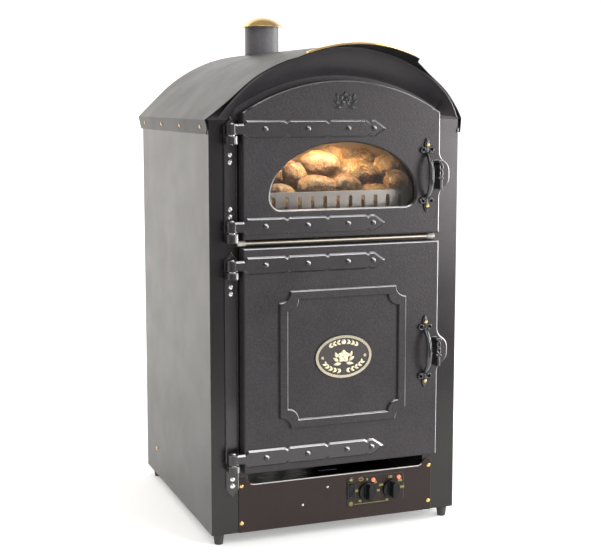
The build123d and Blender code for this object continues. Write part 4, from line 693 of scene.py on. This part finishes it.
marks = bmesh.new()
for place, scale in (
    (timer_place, ((90, "0"), (43, "30"), (-2, "60"), (231, "90"), (173, "120"))),
    (thermostat_place, ((248, "50"), (157, "100"), (95, "150"), (37, "200"), (2, "250"))),
):
    for degrees, text in scale:
        angle = math.radians(degrees)
        figures(marks, text, place[0] + dial_reach * math.cos(angle),
                place[1] + dial_reach * math.sin(angle))
ring(marks, *lamp_sign, 2.4, 0)
for step in range(8):
    angle = math.tau * step / 8
    ray_start, ray_end = (
        (lamp_sign[0] + reach * math.cos(angle), lamp_sign[1] + reach * math.sin(angle))
        for reach in (3.0, 4.3))
    dash(marks, ray_start, ray_end, 0.7)
ring(marks, *potato_sign, 5.2, 4.2, 0.66)
ring(marks, *plain_sign, 4.2, 3.4)
ring(marks, *plain_sign, 2.0, 0.9)
dash(marks, (36.0, rule_height), (101.0, rule_height), 0.6)
moulded("dial_marks", marks, dial_ink, "cabinet")
potato_mark = bmesh.new()
ring(potato_mark, *potato_sign, 4.2, 0, 0.66)
moulded("potato_mark", potato_mark, potato_ink, "cabinet")

# ---- display compartment -------------------------------------------------------------------
# Steel liner and heating elements browned by the heat, and the tray that carries the potatoes:
# brushed stainless sheet with a slotted guard, brighter on the edges that face up and right,
# from wear and painted highlight.
baked_steel = skinned("baked_steel", (0.40, 0.31, 0.215), (0.5, 0.44, 0.36), metallic=1.0,
                      roughness=0.36, mottle=0.6, grain_scale=260.0, grain_height=0.02)
finish(baked_steel, "display_liner", "heating_elements")
tray_steel = skinned("tray_steel", (0.29, 0.265, 0.245), (0.85, 0.82, 0.78), metallic=1.0,
                     roughness=0.42, mottle=0.5, grain_scale=300.0, grain_height=0.02,
                     edge_wear=1.4)
finish(tray_steel, "display_tray")

# ---- oven compartment ----------------------------------------------------------------------
# Stainless liner, racks, wire shelves, fan and guard, with the lower door's inner pan and the
# window's frame in the same sheet. The motor is painted, and mineral wool is packed round it all.
stainless = skinned("stainless", (0.60, 0.59, 0.57), (0.8, 0.8, 0.78), metallic=1.0,
                    roughness=0.34, mottle=0.4, grain_scale=300.0, grain_height=0.015)
finish(stainless, "glass_retainer", "oven_liner", "shelf_racks", "oven_shelf_bottom",
       "oven_shelf_middle", "oven_shelf_top", "fan_guard", "fan_rotor", "lower_door_pan")
motor_paint = skinned("motor_paint", (0.10, 0.10, 0.105), (0.3, 0.3, 0.3), roughness=0.45,
                      mottle=0.4, grain_scale=500.0, grain_height=0.05, edge_wear=0.5)
finish(motor_paint, "fan_motor")
mineral_wool = skinned("mineral_wool", (0.62, 0.52, 0.30), (0.7, 0.6, 0.4), roughness=0.95,
                       mottle=0.8, grain_scale=350.0, grain_height=0.4)
finish(mineral_wool, "oven_insulation")

# ---- door seals ----------------------------------------------------------------------------
# Pale rope of woven glass fibre round the back of each door, which closes the gap to the cabinet
# when the door is shut.
seal_rope = skinned("seal_rope", (0.40, 0.37, 0.32), (0.5, 0.47, 0.4), roughness=0.9, mottle=0.6,
                    grain_scale=600.0, grain_height=0.2)
finish(seal_rope, "upper_door_seal", "lower_door_seal")

# ---- window and lamp -----------------------------------------------------------------------
# A clear toughened pane behind the upper door's mouth, and a warm lamp tube along the top of the
# display. A small lamp in front of the tube throws the tube's light on the potatoes.
window_pane = bpy.data.materials.new("window_pane")
window_pane.use_nodes = True
pane_surface = window_pane.node_tree.nodes["Principled BSDF"]
pane_surface.inputs["Base Color"].default_value = (1.0, 1.0, 1.0, 1)
pane_surface.inputs["Transmission Weight"].default_value = 1.0
pane_surface.inputs["Roughness"].default_value = 0.0
pane_surface.inputs["IOR"].default_value = 1.45
finish(window_pane, "window_glass")

lamp_glow = bpy.data.materials.new("lamp_glow")
lamp_glow.use_nodes = True
glow_surface = lamp_glow.node_tree.nodes["Principled BSDF"]
glow_surface.inputs["Base Color"].default_value = (1.0, 0.85, 0.6, 1)
glow_surface.inputs["Emission Color"].default_value = (1.0, 0.72, 0.38, 1)
glow_surface.inputs["Emission Strength"].default_value = 3
finish(lamp_glow, "display_lamp")

warmth_lamp = bpy.data.lights.new("display_warmth", "AREA")
display_warmth = bpy.data.objects.new("display_warmth", warmth_lamp)
warmth_lamp.shape = "RECTANGLE"
warmth_lamp.size = 0.14
warmth_lamp.size_y = 0.04
warmth_lamp.energy = 1.05
warmth_lamp.color = (1.0, 0.80, 0.55)
display_warmth.location = (-0.005, cabinet_front + 0.060, 0.754)
display_warmth.rotation_euler = (math.radians(25), 0, 0)
bpy.context.scene.collection.objects.link(display_warmth)

# ---- potatoes ------------------------------------------------------------------------------
# Baked potatoes heaped on the tray: crisp golden skins, browner and paler in patches, with
# shallow eyes and fine wrinkles whose creases are darkened as painted shade.
potato_skin = bpy.data.materials.new("potato_skin")
potato_skin.use_nodes = True
tree = potato_skin.node_tree
flesh = tree.nodes["Principled BSDF"]
flesh.inputs["Subsurface Weight"].default_value = 0.08
flesh.inputs["Subsurface Radius"].default_value = (0.006, 0.003, 0.001)
flesh.inputs["Specular IOR Level"].default_value = 0.6
flesh.inputs["Coat Weight"].default_value = 0.2
flesh.inputs["Coat Roughness"].default_value = 0.3
spot = tree.nodes.new("ShaderNodeTexCoord")
patches = tree.nodes.new("ShaderNodeTexNoise")
patches.inputs["Scale"].default_value = 3.2
patches.inputs["Detail"].default_value = 6
patches.inputs["Roughness"].default_value = 0.65
browned = tree.nodes.new("ShaderNodeValToRGB")
browned.color_ramp.elements[0].position = 0.30
browned.color_ramp.elements[0].color = (0.13, 0.045, 0.012, 1)
browned.color_ramp.elements[1].position = 0.70
browned.color_ramp.elements[1].color = (0.90, 0.66, 0.30, 1)
golden = browned.color_ramp.elements.new(0.50)
golden.color = (0.54, 0.29, 0.10, 1)
wrinkles = tree.nodes.new("ShaderNodeTexNoise")
wrinkles.inputs["Scale"].default_value = 7.5
wrinkles.inputs["Detail"].default_value = 7
wrinkles.inputs["Roughness"].default_value = 0.62
wrinkles.inputs["Distortion"].default_value = 2.2
folded = tree.nodes.new("ShaderNodeMath")
folded.operation = "SUBTRACT"
folded.inputs[1].default_value = 0.5
ridges = tree.nodes.new("ShaderNodeMath")
ridges.operation = "ABSOLUTE"
creases = tree.nodes.new("ShaderNodeMapRange")
creases.inputs["From Min"].default_value = 0.0
creases.inputs["From Max"].default_value = 0.09
# Painted shade: the colour is darkened in the wrinkles' creases.
crease_shaded_colour = tree.nodes.new("ShaderNodeMix")
crease_shaded_colour.data_type = "RGBA"
crease_shaded_colour.blend_type = "MULTIPLY"
crease_shaded_colour.inputs["Factor"].default_value = 0.8
ruck = tree.nodes.new("ShaderNodeBump")
ruck.inputs["Strength"].default_value = 1.0
ruck.inputs["Distance"].default_value = 0.004
crisp = tree.nodes.new("ShaderNodeMapRange")
crisp.inputs["To Min"].default_value = 0.48
crisp.inputs["To Max"].default_value = 0.26
for texture in (patches, wrinkles):
    tree.links.new(spot.outputs["Object"], texture.inputs["Vector"])
tree.links.new(patches.outputs["Fac"], browned.inputs["Fac"])
tree.links.new(wrinkles.outputs["Fac"], folded.inputs[0])
tree.links.new(folded.outputs[0], ridges.inputs[0])
tree.links.new(ridges.outputs[0], creases.inputs["Value"])
tree.links.new(browned.outputs["Color"], crease_shaded_colour.inputs["A"])
tree.links.new(creases.outputs["Result"], crease_shaded_colour.inputs["B"])
tree.links.new(crease_shaded_colour.outputs["Result"], flesh.inputs["Base Color"])
tree.links.new(creases.outputs["Result"], ruck.inputs["Height"])
tree.links.new(ruck.outputs["Normal"], flesh.inputs["Normal"])
tree.links.new(patches.outputs["Fac"], crisp.inputs["Value"])
tree.links.new(crisp.outputs["Result"], flesh.inputs["Roughness"])


def potato_mesh(seed):
    """One potato, 1 long and about 0.66 thick: a lumpy, slightly bent egg with a few eyes."""
    chance = random.Random(seed)
    shape = bmesh.new()
    bmesh.ops.create_icosphere(shape, subdivisions=5, radius=0.5)
    shift = Vector([chance.uniform(-9, 9) for _ in range(3)])
    eyes = [Vector([chance.gauss(0, 1) for _ in range(3)]).normalized() for _ in range(7)]
    girth = (chance.uniform(0.62, 0.76), chance.uniform(0.58, 0.68))
    bend = chance.uniform(-0.10, 0.10)
    taper = chance.uniform(-0.14, 0.14)
    for vert in shape.verts:
        way = vert.co.normalized()
        lump = 1 + 0.11 * noise.noise(way * 1.4 + shift) + 0.035 * noise.noise(way * 3.6 + shift)
        for eye in eyes:
            away = (way - eye).length
            lump -= 0.035 * math.exp(-((away / 0.13) ** 2))
        square = 0.5 * math.copysign(abs(way.x) ** 0.86, way.x)
        narrow = 1 + taper * way.x
        vert.co = Vector((
            square,
            0.5 * way.y * girth[0] * narrow + bend * (way.x * way.x - 0.3),
            0.5 * way.z * girth[1] * narrow,
        )) * lump
    made = bpy.data.meshes.new(f"potato_shape_{seed}")
    shape.to_mesh(made)
    shape.free()
    for face in made.polygons:
        face.use_smooth = True
    made.materials.append(potato_skin)
    return made


potato_shapes = [potato_mesh(seed) for seed in range(6)]
# x, depth behind the cabinet's front, z and length in mm; turn, tilt and roll in degrees.
heap = [
    (4, 95, 697, 82, 0, 12, -8), (58, 150, 708, 82, 25, 8, 0), (83, 103, 677, 94, 2, 4, 10),
    (-19, 56, 654, 76, 160, -6, 6), (42, 56, 656, 72, 35, 10, -5), (-49, 92, 671, 74, 30, 62, 0),
    (-95, 50, 645, 66, 20, 12, 0), (98, 48, 638, 80, 175, -4, 8), (137, 43, 666, 62, 80, 6, 5),
    (128, 120, 655, 70, 80, 0, 10), (112, 175, 700, 74, 140, 8, 5), (140, 185, 688, 66, 30, -10, 0),
    (-8, 150, 690, 84, 100, 6, 12), (-62, 150, 674, 86, 30, 8, 0), (30, 110, 660, 84, 80, 0, 5),
    (-112, 110, 634, 76, 80, 10, 10), (-105, 46, 629, 70, 10, 5, 0), (-45, 44, 627, 74, 175, 3, 8),
    (14, 42, 627, 70, 12, -6, 0), (72, 46, 629, 76, 165, 5, 5), (122, 90, 632, 70, 85, 0, 0),
    (-70, 105, 632, 82, 40, 6, 0), (0, 108, 630, 84, 110, 0, 10), (62, 108, 632, 86, 20, 4, 0),
    (-110, 160, 632, 84, 60, 0, 5), (-40, 175, 632, 84, 15, 5, 0), (40, 180, 640, 88, 130, 8, 0),
    (100, 170, 650, 84, 45, 4, 8), (-95, 225, 632, 84, 140, 5, 0), (-10, 235, 633, 88, 70, 0, 0),
    (75, 240, 634, 86, 10, 5, 5), (-70, 300, 632, 86, 25, 0, 0), (20, 305, 633, 84, 120, 4, 0),
    (100, 310, 632, 80, 75, 0, 6), (10, 200, 672, 86, 50, 6, 0), (65, 215, 674, 84, 110, 4, 8),
    (-50, 245, 668, 84, 20, 5, 0), (126, 48, 638, 68, 20, 10, 0), (133, 78, 693, 68, 96, 4, 0),
]
for count, (x, back, z, length, turn, tilt, roll) in enumerate(heap):
    baked = bpy.data.objects.new(f"potato_{count + 1:02d}", potato_shapes[count % len(potato_shapes)])
    baked.location = (x * 0.001, cabinet_front + back * 0.001, z * 0.001)
    baked.rotation_euler = (math.radians(roll), math.radians(tilt), math.radians(turn))
    baked.scale = (length * 0.001, length * 0.001, length * 0.001)
    bpy.context.scene.collection.objects.link(baked)
    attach(baked, "tray")

# ---- badge ---------------------------------------------------------------------------------
# Oval brass casting on the lower door: a bright rim and two rivets round a sunk dark field that
# carries the same flower in polished relief, with a wreath of leaves round it.
badge_place = (0.001, 0.3465)
badge_field = cabinet_front - 0.030
wreath_half = (0.0415, 0.0272)
wreath_leaf = 0.0092

badge_metal = bpy.data.materials.new("badge_metal")
badge_metal.use_nodes = True
tree = badge_metal.node_tree
badge_surface = tree.nodes["Principled BSDF"]
where = tree.nodes.new("ShaderNodeTexCoord")
split = tree.nodes.new("ShaderNodeSeparateXYZ")
proud = tree.nodes.new("ShaderNodeMapRange")
proud.inputs["From Min"].default_value = badge_field - 0.0004
proud.inputs["From Max"].default_value = badge_field - 0.0008
sand = tree.nodes.new("ShaderNodeTexNoise")
sand.inputs["Scale"].default_value = 1100
tone = tree.nodes.new("ShaderNodeMix")
tone.data_type = "RGBA"
tone.inputs["A"].default_value = (0.055, 0.047, 0.044, 1)
tone.inputs["B"].default_value = (1.0, 0.90, 0.68, 1)
shine = tree.nodes.new("ShaderNodeMapRange")
shine.inputs["To Min"].default_value = 0.5
shine.inputs["To Max"].default_value = 0.2
sandy = tree.nodes.new("ShaderNodeBump")
sandy.inputs["Strength"].default_value = 0.3
sandy.inputs["Distance"].default_value = 0.0003
tree.links.new(where.outputs["Object"], split.inputs[0])
tree.links.new(split.outputs["Y"], proud.inputs["Value"])
tree.links.new(where.outputs["Object"], sand.inputs["Vector"])
tree.links.new(proud.outputs["Result"], tone.inputs["Factor"])
tree.links.new(tone.outputs["Result"], badge_surface.inputs["Base Color"])
tree.links.new(proud.outputs["Result"], badge_surface.inputs["Metallic"])
tree.links.new(proud.outputs["Result"], shine.inputs["Value"])
tree.links.new(shine.outputs["Result"], badge_surface.inputs["Roughness"])
tree.links.new(sand.outputs["Fac"], sandy.inputs["Height"])
tree.links.new(sandy.outputs["Normal"], badge_surface.inputs["Normal"])
finish(badge_metal, "door_badge")

badge_relief = skinned("badge_relief", (0.95, 0.84, 0.60), (1.0, 0.92, 0.72), metallic=1.0,
                       roughness=0.30, mottle=0.3, grain_scale=700.0, grain_height=0.02)
relief = bmesh.new()
flower(relief, badge_place, 0.022, 0.0028, badge_field)
for side in (-1, 1):
    for half in (-1, 1):
        for step in range(4 if half > 0 else 5):
            angle = math.radians(7 + 12.5 * step)
            root = (badge_place[0] + side * wreath_half[0] * math.sin(angle),
                    badge_place[1] + half * wreath_half[1] * math.cos(angle))
            ahead = Vector((side * wreath_half[0] * math.cos(angle),
                            -half * wreath_half[1] * math.sin(angle))).normalized() * -half
            for spread in (-0.5, 0.5):
                reach = ahead * wreath_leaf
                leaf(relief, root,
                     (root[0] + reach.x * math.cos(spread) - reach.y * math.sin(spread),
                      root[1] + reach.x * math.sin(spread) + reach.y * math.cos(spread)),
                     0.5 * wreath_leaf, 0.0022, badge_field)
moulded("badge_flower", relief, badge_relief, "lower_door")
